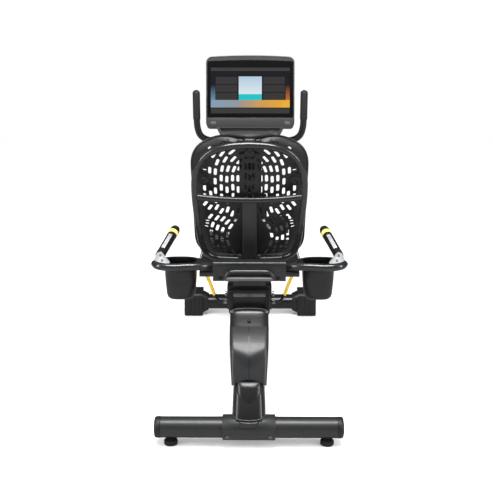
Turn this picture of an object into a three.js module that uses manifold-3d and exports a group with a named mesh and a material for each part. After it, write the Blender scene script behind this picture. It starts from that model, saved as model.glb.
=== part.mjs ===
// A recumbent exercise bike with a sliding perforated-back seat, side grips with cup
// holders, a belt-driven crank and a screen console on a curved mast.
// Millimetres, +Z up, +Y the way the rider faces, origin on the floor under the middle.
import * as THREE from 'three';
import { mergeVertices } from 'three/addons/utils/BufferGeometryUtils.js';
import Module from 'manifold-3d';

const wasm = await Module();
wasm.setup();

// ---------------------------------------------------------------- driving dimensions
const GAP = 0.3; // clearance between touching pieces
const REAR_Y = -739.5; // middle of the rear stabiliser, in the part's frame

// Along the bike, Y is measured from the rear stabiliser and Z from the floor.
const STABILISER = { width: 680, radius: 38, wall: 4, z: 66, frontY: 1400, cap: 22 };
const SLEEVE = { width: 189, radius: 46 };
const FOOT = { x: 282, radius: 25, thread: 6 };
const HOUSING = { width: 93, rear: 1345, front: 1478, height: 126, corner: 22, socket: 30 };
const WHEEL = { x: 300, y: 1452, z: 38, radius: 31, width: 28, pin: 6 };

const RAIL = { y: 300, z: 487, slope: 8, length: 795, width: 140, height: 85, wall: 6 };
const CARRIAGE = { start: 12, length: 338, halfWidth: 85, roof: 14, skirt: 78 };
const NECK = { width: 97, depth: 60, wall: 5 };
const COLUMN = { width: 136, depth: 90, wall: 3 };

const CRANK = { y: 1320, z: 458, arm: 170, axle: 12.5, armX: 88, armThickness: 12 };
const PEDAL = { width: 94, length: 92, thickness: 26, tilt: 60, spindle: 7 };
const PULLEY = { radius: 115, x: 48, width: 14 };
const ROTOR = { y: 1420, z: 250, disc: 80, pulley: 22, shaft: 8 };
const IDLER = { radius: 18, stud: 6 };
const BELT = { thickness: 3 };
const SHROUD = { halfWidth: 80, wall: 3 };

const CONSOLE = { y: 1030, z: 1175, tilt: 12, width: 394, height: 326, depth: 58 };
const SCREEN = { width: 352, height: 198, z: 12 };
const KEYPAD = { height: 50, buttonX: 165, buttonZ: -138 };
const HANDLEBAR = { radius: 14.3, halfWidth: 236.5, top: 1190 };

const BACK = { y: 440, z: 573, recline: 20.6, height: 535, halfWidth: 216, thickness: 5 };
const CUSHION = { halfWidth: 203, rear: 475, front: 845, corner: 55 };
const BRACKET = { halfWidth: 137, y: 262, bottom: 533, top: 603, sheet: 5 };
const ARM = { radius: 14, gripRadius: 19 };
const CUP = { x: 260, y: 341, outer: 116, bottom: 448, top: 590, wall: 3, corner: 30 };
const LEVER = { y: 400, z: 405, radius: 6 };
const LOCK_PIN = { radius: 5, along: 140, down: -40 }; // in the rail's frame

// ---------------------------------------------------------------- materials
const finish = (color, roughness, metalness) => () =>
  new THREE.MeshStandardMaterial({ color, roughness, metalness });
const framePaint = finish(0x2c2d2f, 0.42, 0.35);
const castMetal = finish(0x8e9092, 0.45, 0.8);
const brightSteel = finish(0xb8babc, 0.3, 0.95);
const blackPlastic = finish(0x1d1e20, 0.5, 0.0);
const glossPlastic = finish(0x17181a, 0.22, 0.0);
const rubber = finish(0x151515, 0.8, 0.0);
const upholstery = finish(0x1f2022, 0.75, 0.0);
const screenGlass = finish(0x0a0b0d, 0.08, 0.0);
const yellowGrip = finish(0xe2c63c, 0.45, 0.0);

// ---------------------------------------------------------------- shape helpers
const v2 = (x, y) => new THREE.Vector2(x, y);
const v3 = (x, y, z) => new THREE.Vector3(x, y, z);
const radians = THREE.MathUtils.degToRad;
const SIDES = { left: -1, right: 1 };
const bothSides = (make) => Object.entries(SIDES).map(([name, sign]) => make(name, sign));

function sub(name, geometry, material) {
  const mesh = new THREE.Mesh(geometry, material());
  mesh.name = name;
  return mesh;
}

function assembly(...pieces) {
  const group = new THREE.Group();
  group.add(...pieces.flat(2));
  return group;
}

// Outline in (Y, Z), extruded from x0 to x1.
function alongX(shape, x0, x1, curveSegments = 4) {
  const geometry = new THREE.ExtrudeGeometry(shape,
    { depth: x1 - x0, bevelEnabled: false, curveSegments });
  geometry.applyMatrix4(new THREE.Matrix4().makeBasis(v3(0, 1, 0), v3(0, 0, 1), v3(1, 0, 0)));
  return geometry.translate(x0, 0, 0);
}

// Outline in (X, Z), extruded from y0 to y1.
function alongY(shape, y0, y1, curveSegments = 4) {
  const geometry = new THREE.ExtrudeGeometry(shape,
    { depth: y1 - y0, bevelEnabled: false, curveSegments });
  return geometry.rotateX(Math.PI / 2).translate(0, y1, 0);
}

// Outline in (X, Y), extruded from z0 to z1.
function alongZ(shape, z0, z1, curveSegments = 4) {
  const geometry = new THREE.ExtrudeGeometry(shape,
    { depth: z1 - z0, bevelEnabled: false, curveSegments });
  return geometry.translate(0, 0, z0);
}

function polygon(points) {
  return new THREE.Shape(points.map(([a, b]) => v2(a, b)));
}

function roundedRect(x0, x1, y0, y1, r) {
  const shape = new THREE.Shape();
  shape.absarc(x1 - r, y0 + r, r, -Math.PI / 2, 0);
  shape.absarc(x1 - r, y1 - r, r, 0, Math.PI / 2);
  shape.absarc(x0 + r, y1 - r, r, Math.PI / 2, Math.PI);
  shape.absarc(x0 + r, y0 + r, r, Math.PI, Math.PI * 1.5);
  return shape;
}

const box = (x0, x1, y0, y1, z0, z1) => new THREE.BoxGeometry(x1 - x0, y1 - y0, z1 - z0)
  .translate((x0 + x1) / 2, (y0 + y1) / 2, (z0 + z1) / 2);

// Round bar along X.
function rodX(radius, x0, x1, y = 0, z = 0, segments = 24) {
  const geometry = new THREE.CylinderGeometry(radius, radius, x1 - x0, segments);
  return geometry.rotateZ(Math.PI / 2).translate((x0 + x1) / 2, y, z);
}

// Solid of revolution about X; the profile is [radius, x] pairs from axis to axis.
function latheX(profile, segments = 24) {
  const points = profile.map(([radius, x]) => v2(radius, x));
  return new THREE.LatheGeometry(points, segments).rotateZ(-Math.PI / 2);
}

// Round bar along a smooth curve through the points.
function bentRod(points, radius, steps, sides = 12) {
  const circle = new THREE.Shape().absarc(0, 0, radius, 0, Math.PI * 2);
  const path = new THREE.CatmullRomCurve3(points.map((p) => v3(...p)), false, 'centripetal');
  return new THREE.ExtrudeGeometry(circle,
    { steps, extrudePath: path, curveSegments: sides });
}

// Outline of a strip of the given depth that follows a centre line of [y, z] points.
function strip(line, depth, extend = 0) {
  const points = line.map(([a, b]) => v2(a, b));
  const first = points[0].clone().sub(points[1]).setLength(extend);
  const last = points.at(-1).clone().sub(points.at(-2)).setLength(extend);
  points[0].add(first);
  points[points.length - 1].add(last);
  const normals = points.map((_, i) => {
    const before = points[Math.max(i - 1, 0)];
    const after = points[Math.min(i + 1, points.length - 1)];
    const along = after.clone().sub(before).normalize();
    return v2(-along.y, along.x).multiplyScalar(depth / 2);
  });
  const outer = points.map((p, i) => p.clone().add(normals[i]));
  const inner = points.map((p, i) => p.clone().sub(normals[i]));
  return new THREE.Shape([...inner, ...outer.reverse()]);
}

// Outline of a band stretched round circles given as [y, z, radius].
function bandRound(circles, grow = 0, segments = 28) {
  const points = circles.flatMap(([y, z, r]) => Array.from({ length: segments }, (_, i) => {
    const turn = (i / segments) * Math.PI * 2;
    return [y + (r + grow) * Math.cos(turn), z + (r + grow) * Math.sin(turn)];
  })).sort((p, q) => p[0] - q[0] || p[1] - q[1]);
  const chain = (list) => list.reduce((hull, p) => {
    const turnsIn = (a, b) => (b[0] - a[0]) * (p[1] - a[1]) - (b[1] - a[1]) * (p[0] - a[0]) <= 0;
    while (hull.length > 1 && turnsIn(hull.at(-2), hull.at(-1))) hull.pop();
    return [...hull, p];
  }, []);
  const lower = chain(points);
  const upper = chain([...points].reverse());
  return polygon([...lower.slice(0, -1), ...upper.slice(0, -1)]);
}

function toSolid(geometry) {
  const bare = geometry.clone();
  for (const name of Object.keys(bare.attributes)) {
    if (name !== 'position') bare.deleteAttribute(name);
  }
  const welded = mergeVertices(bare.index ? bare.toNonIndexed() : bare, 1e-3);
  return new wasm.Manifold(new wasm.Mesh({
    numProp: 3,
    vertProperties: new Float32Array(welded.attributes.position.array),
    triVerts: new Uint32Array(welded.index.array),
  }));
}

function toGeometry(solid) {
  const { vertProperties, triVerts, numProp } = solid.getMesh();
  const positions = new Float32Array((vertProperties.length / numProp) * 3);
  for (let i = 0; i < positions.length / 3; i++) {
    positions.set(vertProperties.subarray(i * numProp, i * numProp + 3), i * 3);
  }
  const geometry = new THREE.BufferGeometry();
  geometry.setAttribute('position', new THREE.BufferAttribute(positions, 3));
  geometry.setIndex(new THREE.BufferAttribute(new Uint32Array(triVerts), 1));
  geometry.computeVertexNormals();
  return geometry;
}

const cut = (body, ...tools) => toGeometry(
  tools.reduce((solid, tool) => solid.subtract(toSolid(tool)), toSolid(body)));
const join = (body, ...others) => toGeometry(
  others.reduce((solid, other) => solid.add(toSolid(other)), toSolid(body)));
const common = (a, b) => toGeometry(toSolid(a).intersect(toSolid(b)));

// Frames that tilt about X: the seat back, the console and the rail.
const tiltedFrame = (y, z, degrees) => new THREE.Matrix4()
  .makeTranslation(0, y, z).multiply(new THREE.Matrix4().makeRotationX(radians(degrees)));
const RAIL_FRAME = tiltedFrame(RAIL.y, RAIL.z, -RAIL.slope);
const BACK_FRAME = tiltedFrame(BACK.y, BACK.z, BACK.recline);
const CONSOLE_FRAME = tiltedFrame(CONSOLE.y, CONSOLE.z, -CONSOLE.tilt);

function inFrame(matrix, ...pieces) {
  const group = assembly(...pieces);
  group.applyMatrix4(matrix);
  return group;
}

function railPoint(along, up) {
  const point = v3(0, along, up).applyMatrix4(RAIL_FRAME);
  return [point.y, point.z];
}

// ---------------------------------------------------------------- rear stabiliser
function rearStabiliser() {
  const half = STABILISER.width / 2 - STABILISER.cap;
  const z = STABILISER.z;
  const bores = bothSides((_, sign) => box(sign * FOOT.x - 7, sign * FOOT.x + 7, -7, 7, 0, 60));
  const tube = cut(
    join(rodX(STABILISER.radius, -half, half, 0, z, 32),
      rodX(SLEEVE.radius, -SLEEVE.width / 2, SLEEVE.width / 2, 0, z, 32)),
    rodX(STABILISER.radius - STABILISER.wall, -half - 1, half + 1, 0, z, 32), ...bores);
  const capProfile = [[0, 0], [38.5, 0], [38.5, 10], [34, 18], [22, 22], [0, 22]];
  const footProfile = [[0, 0], [FOOT.radius, 0], [FOOT.radius, 9], [19, 13],
    [FOOT.thread, 13], [FOOT.thread, 52], [0, 52]].map(([r, h]) => v2(r, h));
  return assembly(
    sub('rear_stabiliser_tube', tube, framePaint),
    bothSides((side, sign) => {
      const cap = latheX(capProfile, 28).translate(half + GAP, 0, z);
      if (sign < 0) cap.rotateZ(Math.PI);
      const foot = new THREE.LatheGeometry(footProfile, 20).rotateX(Math.PI / 2);
      return [
        sub(`rear_end_cap_${side}`, cap, blackPlastic),
        sub(`rear_foot_${side}`, foot.translate(sign * FOOT.x, 0, 0), rubber),
      ];
    }));
}

// ---------------------------------------------------------------- rear column
// Centre line of the neck that carries the rail, from the stabiliser up and forward.
const NECK_LINE = [[0, 92], [38, 150], [92, 235], [160, 312], [232, 358], [318, 388]];

function neckPart(fromZ, toZ) {
  const at = (z) => {
    const i = NECK_LINE.findIndex(([, height]) => height >= z);
    const [y0, z0] = NECK_LINE[Math.max(i - 1, 0)];
    const [y1, z1] = NECK_LINE[Math.max(i, 1)];
    return [y0 + ((y1 - y0) * (z - z0)) / (z1 - z0), z];
  };
  return [at(fromZ), ...NECK_LINE.filter(([, z]) => z > fromZ && z < toZ), at(toZ)];
}

// Thin cover round a stretch of the neck, open at both ends.
function coverRound(line, depth, x0, x1, inner0, inner1) {
  const outer = alongX(strip(line, depth), x0, x1);
  const inner = alongX(strip(line, depth - 2 * COLUMN.wall, 5), inner0, inner1);
  return cut(outer, inner);
}

function rearColumn() {
  const wall = COLUMN.wall;
  const half = COLUMN.width / 2;
  const sleeveRoom = rodX(SLEEVE.radius + GAP, -100, 100, 0, STABILISER.z, 32);
  const railRoom = box(-100, 100, 0, 900, -RAIL.height - GAP, 20).applyMatrix4(RAIL_FRAME);
  const hollow = NECK.width / 2 - NECK.wall;
  const solid = alongX(strip(NECK_LINE, NECK.depth, 12), -NECK.width / 2, NECK.width / 2);
  const core = alongX(strip(NECK_LINE, NECK.depth - 2 * NECK.wall, 14), -hollow, hollow);
  const neck = cut(solid, sleeveRoom, railRoom, core);
  const collar = coverRound(neckPart(112, 206), NECK.depth + 24, -56, 56, -56 + wall, 56 - wall);
  const upper = neckPart(214, 344);
  const panel = alongX(polygon([[190, 380], [269, 411], [269, 416.5], [186, 384]]), -half, half);
  const screwHole = new THREE.CylinderGeometry(7, 7, 40, 16).rotateX(Math.PI / 2)
    .translate(0, 207, 390);
  const capPlate = alongY(roundedRect(-78.5, 78.5, -95, 4, 11), -16, 2 - GAP);
  const capRecess = box(-66, 66, -17, -8, -76, -34);
  const neckRoom = box(-51, 51, -17, 3, -96, -75);
  return assembly(
    sub('rear_neck', neck, framePaint),
    sub('neck_cover', cut(collar, sleeveRoom), blackPlastic),
    sub('column_cover_left',
      coverRound(upper, COLUMN.depth, -half, -GAP / 2, -half + wall, 1), blackPlastic),
    sub('column_cover_right',
      coverRound(upper, COLUMN.depth, GAP / 2, half, -1, half - wall), blackPlastic),
    sub('column_top_panel', cut(panel, screwHole), blackPlastic),
    inFrame(RAIL_FRAME,
      sub('rail_end_cap', cut(capPlate, capRecess, neckRoom), blackPlastic)));
}

// ---------------------------------------------------------------- seat rail
function seatRail() {
  const half = RAIL.width / 2;
  const groove = { top: -33, bottom: -47, depth: 4 };
  const side = [[half, 0], [half, groove.top], [half - groove.depth, groove.top],
    [half - groove.depth, groove.bottom], [half, groove.bottom], [half, -RAIL.height]];
  const mirrored = side.map(([x, z]) => [-x, z]);
  const section = polygon([...side.reverse(), ...mirrored]);
  const inner = half - groove.depth - RAIL.wall;
  section.holes.push(polygon([[-inner, -RAIL.wall], [inner, -RAIL.wall],
    [inner, -RAIL.height + RAIL.wall], [-inner, -RAIL.height + RAIL.wall]]));
  const rail = toGeometry(toSolid(alongY(section, 2, RAIL.length)));
  return inFrame(RAIL_FRAME, sub('seat_rail', rail, castMetal));
}

// ---------------------------------------------------------------- front frame and drive
// The idler presses on the outside of the belt's rear run.
function idlerCentre() {
  const start = v2(CRANK.y, CRANK.z);
  const reach = v2(ROTOR.y, ROTOR.z).sub(start);
  const lean = Math.asin((PULLEY.radius - ROTOR.pulley) / reach.length());
  const direction = reach.clone().normalize();
  const outward = v2(direction.y, -direction.x).rotateAround(v2(0, 0), lean);
  if (outward.x > 0) outward.copy(v2(-direction.y, direction.x)).rotateAround(v2(0, 0), -lean);
  const tangentStart = start.clone().addScaledVector(outward, PULLEY.radius);
  const tangentEnd = v2(ROTOR.y, ROTOR.z).addScaledVector(outward, ROTOR.pulley);
  const offset = IDLER.radius + BELT.thickness + 2 * GAP;
  return tangentStart.lerp(tangentEnd, 0.62).addScaledVector(outward, offset);
}

const SPINE = [railPoint(RAIL.length + 2, -2), [1230, 330], [1380, 200], [1452, 150],
  [1452, 98], [1348, 98], [1200, 225], railPoint(RAIL.length + 2, -RAIL.height + 2)];

function frontFrame() {
  const idler = idlerCentre();
  const bracketShell = rodX(28, -38, 38, CRANK.y, CRANK.z, 28);
  const web = alongX(bandRound([[CRANK.y, CRANK.z, 32], [ROTOR.y, ROTOR.z, 24],
    [idler.x, idler.y, 14], [1335, 558, 20], [1400, 150, 24]], 0, 16), 16, 30);
  const stud = rodX(IDLER.stud, 29, PULLEY.x + PULLEY.width + 2, idler.x, idler.y, 16);
  const tubeRoom = rodX(STABILISER.radius + GAP, -50, 50, STABILISER.frontY, STABILISER.z, 32);
  const frame = cut(join(alongX(polygon(SPINE), -30, 30), web, bracketShell, stud), tubeRoom,
    rodX(CRANK.axle + 2.5, -40, 40, CRANK.y, CRANK.z, 24),
    rodX(20.6, -40, -26, CRANK.y, CRANK.z, 24), rodX(20.6, 26, 40, CRANK.y, CRANK.z, 24),
    rodX(ROTOR.shaft + 0.6, -40, 40, ROTOR.y, ROTOR.z, 16));
  const half = STABILISER.width / 2 - HOUSING.width + HOUSING.socket;
  const tube = cut(rodX(STABILISER.radius, -half, half, STABILISER.frontY, STABILISER.z, 32),
    rodX(STABILISER.radius - STABILISER.wall, -half - 1, half + 1,
      STABILISER.frontY, STABILISER.z, 32));
  const inlet = cut(box(-16, 16, 1452.3, 1470, 108, 136), box(-11, 11, 1458, 1471, 113, 131));
  return assembly(
    sub('front_frame', frame, framePaint),
    sub('front_stabiliser_tube', tube, framePaint),
    sub('power_inlet', inlet, blackPlastic));
}

function frontHousings() {
  return bothSides((side, sign) => {
    const inner = STABILISER.width / 2 - HOUSING.width;
    const outline = roundedRect(HOUSING.rear, HOUSING.front, 0, HOUSING.height, HOUSING.corner);
    const body = alongX(outline, inner, STABILISER.width / 2, 5);
    const slotHalf = WHEEL.width / 2 + 4;
    const room = WHEEL.radius + 5;
    const slot = join(rodX(room, WHEEL.x - slotHalf, WHEEL.x + slotHalf, WHEEL.y, WHEEL.z, 24),
      box(WHEEL.x - slotHalf, WHEEL.x + slotHalf, WHEEL.y, WHEEL.y + 60, -5, WHEEL.z + room),
      box(WHEEL.x - slotHalf, WHEEL.x + slotHalf, WHEEL.y - room, WHEEL.y + 60, -5, WHEEL.z));
    const socket = rodX(STABILISER.radius + GAP + 0.2, inner - 1, inner + HOUSING.socket + 1,
      STABILISER.frontY, STABILISER.z, 32);
    const pin = rodX(WHEEL.pin, WHEEL.x - slotHalf - 3, WHEEL.x + slotHalf + 3,
      WHEEL.y, WHEEL.z, 16);
    const housing = join(cut(body, slot, socket), pin);
    const wheel = cut(rodX(WHEEL.radius, WHEEL.x - WHEEL.width / 2, WHEEL.x + WHEEL.width / 2,
      WHEEL.y, WHEEL.z, 28), rodX(WHEEL.pin + 0.5, 0, 400, WHEEL.y, WHEEL.z, 16));
    const parts = [sub(`front_housing_${side}`, housing, blackPlastic),
      sub(`transport_wheel_${side}`, wheel, rubber)];
    if (sign < 0) parts.forEach((part) => mirrorX(part.geometry));
    return parts;
  });
}

// Mirrors a geometry across X = 0 and keeps its faces pointing out.
function mirrorX(geometry) {
  geometry.scale(-1, 1, 1);
  const order = geometry.index ?? new THREE.BufferAttribute(
    Uint32Array.from({ length: geometry.attributes.position.count }, (_, i) => i), 1);
  for (let i = 0; i < order.count; i += 3) {
    const first = order.getX(i);
    order.setX(i, order.getX(i + 1));
    order.setX(i + 1, first);
  }
  geometry.setIndex(order);
  return geometry;
}

function driveTrain() {
  const { y, z } = CRANK;
  const idler = idlerCentre();
  const x1 = PULLEY.x + PULLEY.width;
  const rim = rodX(PULLEY.radius, PULLEY.x, x1, y, z, 48);
  const lightening = Array.from({ length: 5 }, (_, i) => {
    const turn = (i / 5) * Math.PI * 2;
    return rodX(26, 0, 80, y + 66 * Math.cos(turn), z + 66 * Math.sin(turn), 16);
  });
  const pulley = cut(rim, rodX(CRANK.axle + 0.5, 0, 80, y, z, 24), ...lightening);
  const rotor = latheX([[0, -70], [ROTOR.shaft, -70], [ROTOR.shaft, -64], [ROTOR.disc, -64],
    [ROTOR.disc, -36], [ROTOR.shaft, -36], [ROTOR.shaft, PULLEY.x - 1],
    [ROTOR.pulley, PULLEY.x - 1], [ROTOR.pulley, x1 + 1], [ROTOR.shaft, x1 + 1],
    [ROTOR.shaft, 68], [0, 68]], 32).translate(0, ROTOR.y, ROTOR.z);
  const pulleys = [[y, z, PULLEY.radius], [ROTOR.y, ROTOR.z, ROTOR.pulley]];
  const belt = cut(
    alongX(bandRound(pulleys, GAP + BELT.thickness, 48), PULLEY.x + 1, x1 - 1),
    alongX(bandRound(pulleys, GAP, 48), 0, 90));
  const idlerRing = cut(rodX(IDLER.radius, PULLEY.x, x1, idler.x, idler.y, 24),
    rodX(IDLER.stud + 0.5, 0, 90, idler.x, idler.y, 16));
  const axle = rodX(CRANK.axle, -CRANK.armX + GAP, CRANK.armX - GAP, y, z, 24);
  return assembly(
    sub('drive_pulley', pulley, castMetal), sub('generator_rotor', rotor, castMetal),
    sub('drive_belt', belt, rubber), sub('belt_idler', idlerRing, blackPlastic),
    sub('crank_axle', axle, brightSteel), bearings(), bothSides(crankAndPedal));
}

function bearings() {
  return bothSides((side, sign) => {
    const x = sign > 0 ? 26.4 : -37.6;
    const ring = cut(rodX(20, x, x + 11.2, CRANK.y, CRANK.z, 24),
      rodX(CRANK.axle + 0.5, -50, 50, CRANK.y, CRANK.z, 24));
    return sub(`crank_bearing_${side}`, ring, brightSteel);
  });
}

function crankAndPedal(side, sign) {
  const { z } = CRANK;
  const pedalY = CRANK.y + sign * CRANK.arm;
  const armEnd = CRANK.armX + CRANK.armThickness;
  const arm = join(
    alongX(bandRound([[CRANK.y, z, 20], [pedalY, z, 14]], 0, 20), CRANK.armX, armEnd),
    rodX(PEDAL.spindle, armEnd - 2, armEnd + PEDAL.width, pedalY, z, 16));
  const half = PEDAL.length / 2;
  const outline = roundedRect(-half, half, -PEDAL.thickness / 2, PEDAL.thickness / 2, 8);
  const pedal = cut(alongX(outline, armEnd + 4, armEnd + 4 + PEDAL.width, 4),
    rodX(PEDAL.spindle + 0.5, armEnd, armEnd + PEDAL.width + 1, 0, 0, 16));
  pedal.rotateX(radians(PEDAL.tilt)).translate(0, pedalY, z);
  if (sign < 0) {
    mirrorX(arm);
    mirrorX(pedal);
  }
  return [sub(`crank_arm_${side}`, arm, castMetal), sub(`pedal_${side}`, pedal, blackPlastic)];
}

const SHROUD_CIRCLES = [[CRANK.y, CRANK.z, 150], [ROTOR.y, ROTOR.z, 105], [1200, 330, 60],
  [1340, 600, 50]];

function shroud() {
  const { halfWidth, wall } = SHROUD;
  const openings = [
    alongX(strip([SPINE[0], [1240, 300], [1420, 120], [1440, 60]], 118, 30), -32, 32),
    box(-24, 24, 1311, 1362, 560, 700),
    rodX(CRANK.axle + 4, -90, 90, CRANK.y, CRANK.z, 20),
  ];
  return bothSides((side, sign) => {
    const outer = alongX(bandRound(SHROUD_CIRCLES, 0, 32), GAP / 2, halfWidth);
    const inner = alongX(bandRound(SHROUD_CIRCLES, -wall, 32), -1, halfWidth - wall);
    const shell = cut(outer, inner, ...openings);
    return sub(`shroud_${side}`, sign < 0 ? mirrorX(shell) : shell, glossPlastic);
  });
}

// ---------------------------------------------------------------- console
const MAST_LINE = [[1336, 582], [1332, 680], [1290, 800], [1210, 900], [1130, 985], [1060, 1090]];

function consoleMast() {
  const behindConsole = box(-210, 210, -80, CONSOLE.depth + GAP, -230, 180)
    .applyMatrix4(CONSOLE_FRAME);
  const mast = cut(alongX(strip(MAST_LINE, 30), -22, 22), behindConsole);
  const line = [[1332, 655], [1330, 690], ...MAST_LINE.slice(2, 4), [1140, 975]];
  const cover = cut(alongX(strip(line, 66), -54, 54),
    alongX(strip(line, 60, 5), -51, 51), box(-60, 60, 1200, 1400, 500, 651));
  return assembly(
    sub('console_mast', mast, framePaint), sub('mast_cover', cover, glossPlastic));
}

function handlebar() {
  const w = HANDLEBAR.halfWidth;
  const rightHalf = [[60, 1086, 955], [130, 1080, 955], [196, 1046, 959], [228, 1004, 992],
    [w, 984, 1050], [w, 975, 1120], [w, 970, HANDLEBAR.top]];
  const leftHalf = rightHalf.map(([x, y, z]) => [-x, y, z]).reverse();
  const bar = bentRod([...leftHalf, ...rightHalf], HANDLEBAR.radius, 44, 5);
  const clamp = box(-24, 24, 1082, 1112, 942, 966);
  return sub('console_handlebar', join(bar, clamp), rubber);
}

function consoleHead() {
  const halfW = CONSOLE.width / 2;
  const halfH = CONSOLE.height / 2;
  const keypadTop = -halfH + KEYPAD.height;
  const outline = roundedRect(-halfW, halfW, -halfH, halfH, 16);
  const backShell = cut(alongY(outline, 14, CONSOLE.depth),
    box(-halfW + 3, halfW - 3, 13, CONSOLE.depth - 3, -halfH + 3, halfH - 3));
  const upper = common(alongY(outline, 4, 13.7), box(-300, 300, 0, 20, keypadTop + GAP, 300));
  const window = box(-SCREEN.width / 2 - GAP, SCREEN.width / 2 + GAP, 0, 20,
    SCREEN.z - SCREEN.height / 2 - GAP, SCREEN.z + SCREEN.height / 2 + GAP);
  const screen = box(-SCREEN.width / 2, SCREEN.width / 2, 5, 13,
    SCREEN.z - SCREEN.height / 2, SCREEN.z + SCREEN.height / 2);
  const button = (sign, grow) => roundedRect(sign * KEYPAD.buttonX - 13 - grow,
    sign * KEYPAD.buttonX + 13 + grow, KEYPAD.buttonZ - 7 - grow, KEYPAD.buttonZ + 7 + grow,
    6.9 + grow);
  const keypad = cut(common(alongY(outline, 1, 13.7), box(-300, 300, 0, 20, -300, keypadTop)),
    alongY(button(-1, 0.8), 0, 10, 3), alongY(button(1, 0.8), 0, 10, 3));
  const tray = cut(alongY(polygon([[-151, -165], [-129, -197], [129, -197], [151, -165]]), -34, 12),
    box(-118, 118, -28, 4, -188, -160));
  return inFrame(CONSOLE_FRAME,
    sub('console_back_shell', backShell, glossPlastic),
    sub('console_bezel', cut(upper, window), glossPlastic),
    sub('console_screen', screen, screenGlass),
    sub('keypad_strip', keypad, blackPlastic),
    sub('accessory_tray', tray, blackPlastic),
    bothSides((side, sign) => sub(`console_button_${side}`,
      alongY(button(sign, 0), -1, 6, 3), castMetal)));
}

// ---------------------------------------------------------------- seat
// Half width of the seat back at a height of 0 to 1, round at the foot and the shoulders.
function backHalfWidth(t) {
  const foot = Math.min(1, t / 0.13);
  const shoulder = Math.max(0, (t - 0.72) / 0.28);
  const footInset = 52 * (1 - Math.sqrt(1 - (1 - foot) ** 2));
  return (BACK.halfWidth - footInset - 3 * (1 - t))
    * (1 - 0.9995 * shoulder ** 2.7) ** (1 / 2.65);
}

// Curved plate: rows climb the back, and its sides sweep forward like a shallow bucket.
function curvedBackPlate(rows = 16, columns = 12) {
  const positions = [];
  const index = [];
  const at = (layer, row, column) => (layer * (rows + 1) + row) * (columns + 1) + column;
  for (let layer = 0; layer < 2; layer++) {
    for (let row = 0; row <= rows; row++) {
      const t = 0.5 - 0.5 * Math.cos((Math.PI * row) / rows);
      for (let column = 0; column <= columns; column++) {
        const u = (2 * column) / columns - 1;
        const sweep = 58 * Math.abs(u) ** 3 * (1 - 0.45 * t);
        positions.push(u * backHalfWidth(t), sweep + layer * BACK.thickness,
          6 + t * (BACK.height - 6));
      }
    }
  }
  const quad = (a, b, c, d) => index.push(a, b, c, a, c, d);
  for (let row = 0; row < rows; row++) {
    for (let column = 0; column < columns; column++) {
      const corners = [[row, column], [row, column + 1], [row + 1, column + 1], [row + 1, column]];
      quad(...corners.map(([r, c]) => at(0, r, c)));
      quad(...corners.reverse().map(([r, c]) => at(1, r, c)));
    }
    quad(at(0, row + 1, 0), at(1, row + 1, 0), at(1, row, 0), at(0, row, 0));
    quad(at(0, row, columns), at(1, row, columns), at(1, row + 1, columns),
      at(0, row + 1, columns));
  }
  for (let column = 0; column < columns; column++) {
    quad(at(0, 0, column), at(1, 0, column), at(1, 0, column + 1), at(0, 0, column + 1));
    quad(at(0, rows, column + 1), at(1, rows, column + 1), at(1, rows, column),
      at(0, rows, column));
  }
  const geometry = new THREE.BufferGeometry();
  geometry.setAttribute('position', new THREE.Float32BufferAttribute(positions, 3));
  geometry.setIndex(index);
  geometry.computeVertexNormals();
  return geometry;
}

function seatBack() {
  const steps = 12;
  const edge = (inset) => {
    const side = Array.from({ length: steps + 1 }, (_, i) => {
      const t = 0.5 - 0.5 * Math.cos((Math.PI * i) / steps);
      return [backHalfWidth(t) * (1 - (7 + inset) / BACK.halfWidth),
        10 + inset + t * (BACK.height - 30 - 2 * inset)];
    });
    return polygon([...side, ...side.map(([x, z]) => [-x, z]).reverse()]);
  };
  const rim = cut(alongY(edge(0), -32, -8), alongY(edge(24), -40, 0));
  const crossbar = common(alongY(edge(4), -30, -12), box(-250, 250, -60, 0, 255, 283));
  const post = box(-28, 28, -33, -9, -20, 268);
  return inFrame(BACK_FRAME,
    sub('seat_back_shell', curvedBackPlate(), blackPlastic),
    sub('seat_back_frame', join(rim, crossbar, post), framePaint));
}

function seatBase() {
  const { halfWidth, rear, front, corner } = CUSHION;
  const plan = alongZ(roundedRect(-halfWidth, halfWidth, rear, front, corner), 400, 650, 5);
  const cushionSide = polygon([[rear, 519], [front, 490], [front, 525], [front - 18, 552],
    [700, 562], [500, 570], [rear, 556]]);
  const panSide = polygon([[rear, 504], [front, 475], [front, 489.5], [rear, 518.5]]);
  const frameSide = polygon([[292, 505], [650, 455.5], [650, 486], [466, 500], [466, 541.5],
    [292, 541.5]]);
  const armBeam = box(-190, 190, 293, 335, 541, 558);
  const frameHollow = box(-54, 54, 300, 642, 440, 533);
  const inner = CARRIAGE.halfWidth - 12.5;
  const { start, length, roof, skirt } = CARRIAGE;
  const channel = cut(box(-CARRIAGE.halfWidth, CARRIAGE.halfWidth, start, start + length,
    -skirt, roof), box(-inner, inner, 0, 400, -skirt - 1, 1),
  rodX(LOCK_PIN.radius + 0.6, -100, 100, LOCK_PIN.along, LOCK_PIN.down, 16));
  return assembly(
    sub('seat_cushion', common(alongX(cushionSide, -halfWidth, halfWidth), plan), upholstery),
    sub('seat_pan', common(alongX(panSide, -halfWidth, halfWidth), plan), blackPlastic),
    sub('seat_frame', cut(join(alongX(frameSide, -62, 62), armBeam), frameHollow), framePaint),
    inFrame(RAIL_FRAME, sub('seat_carriage', channel, framePaint)));
}

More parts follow.
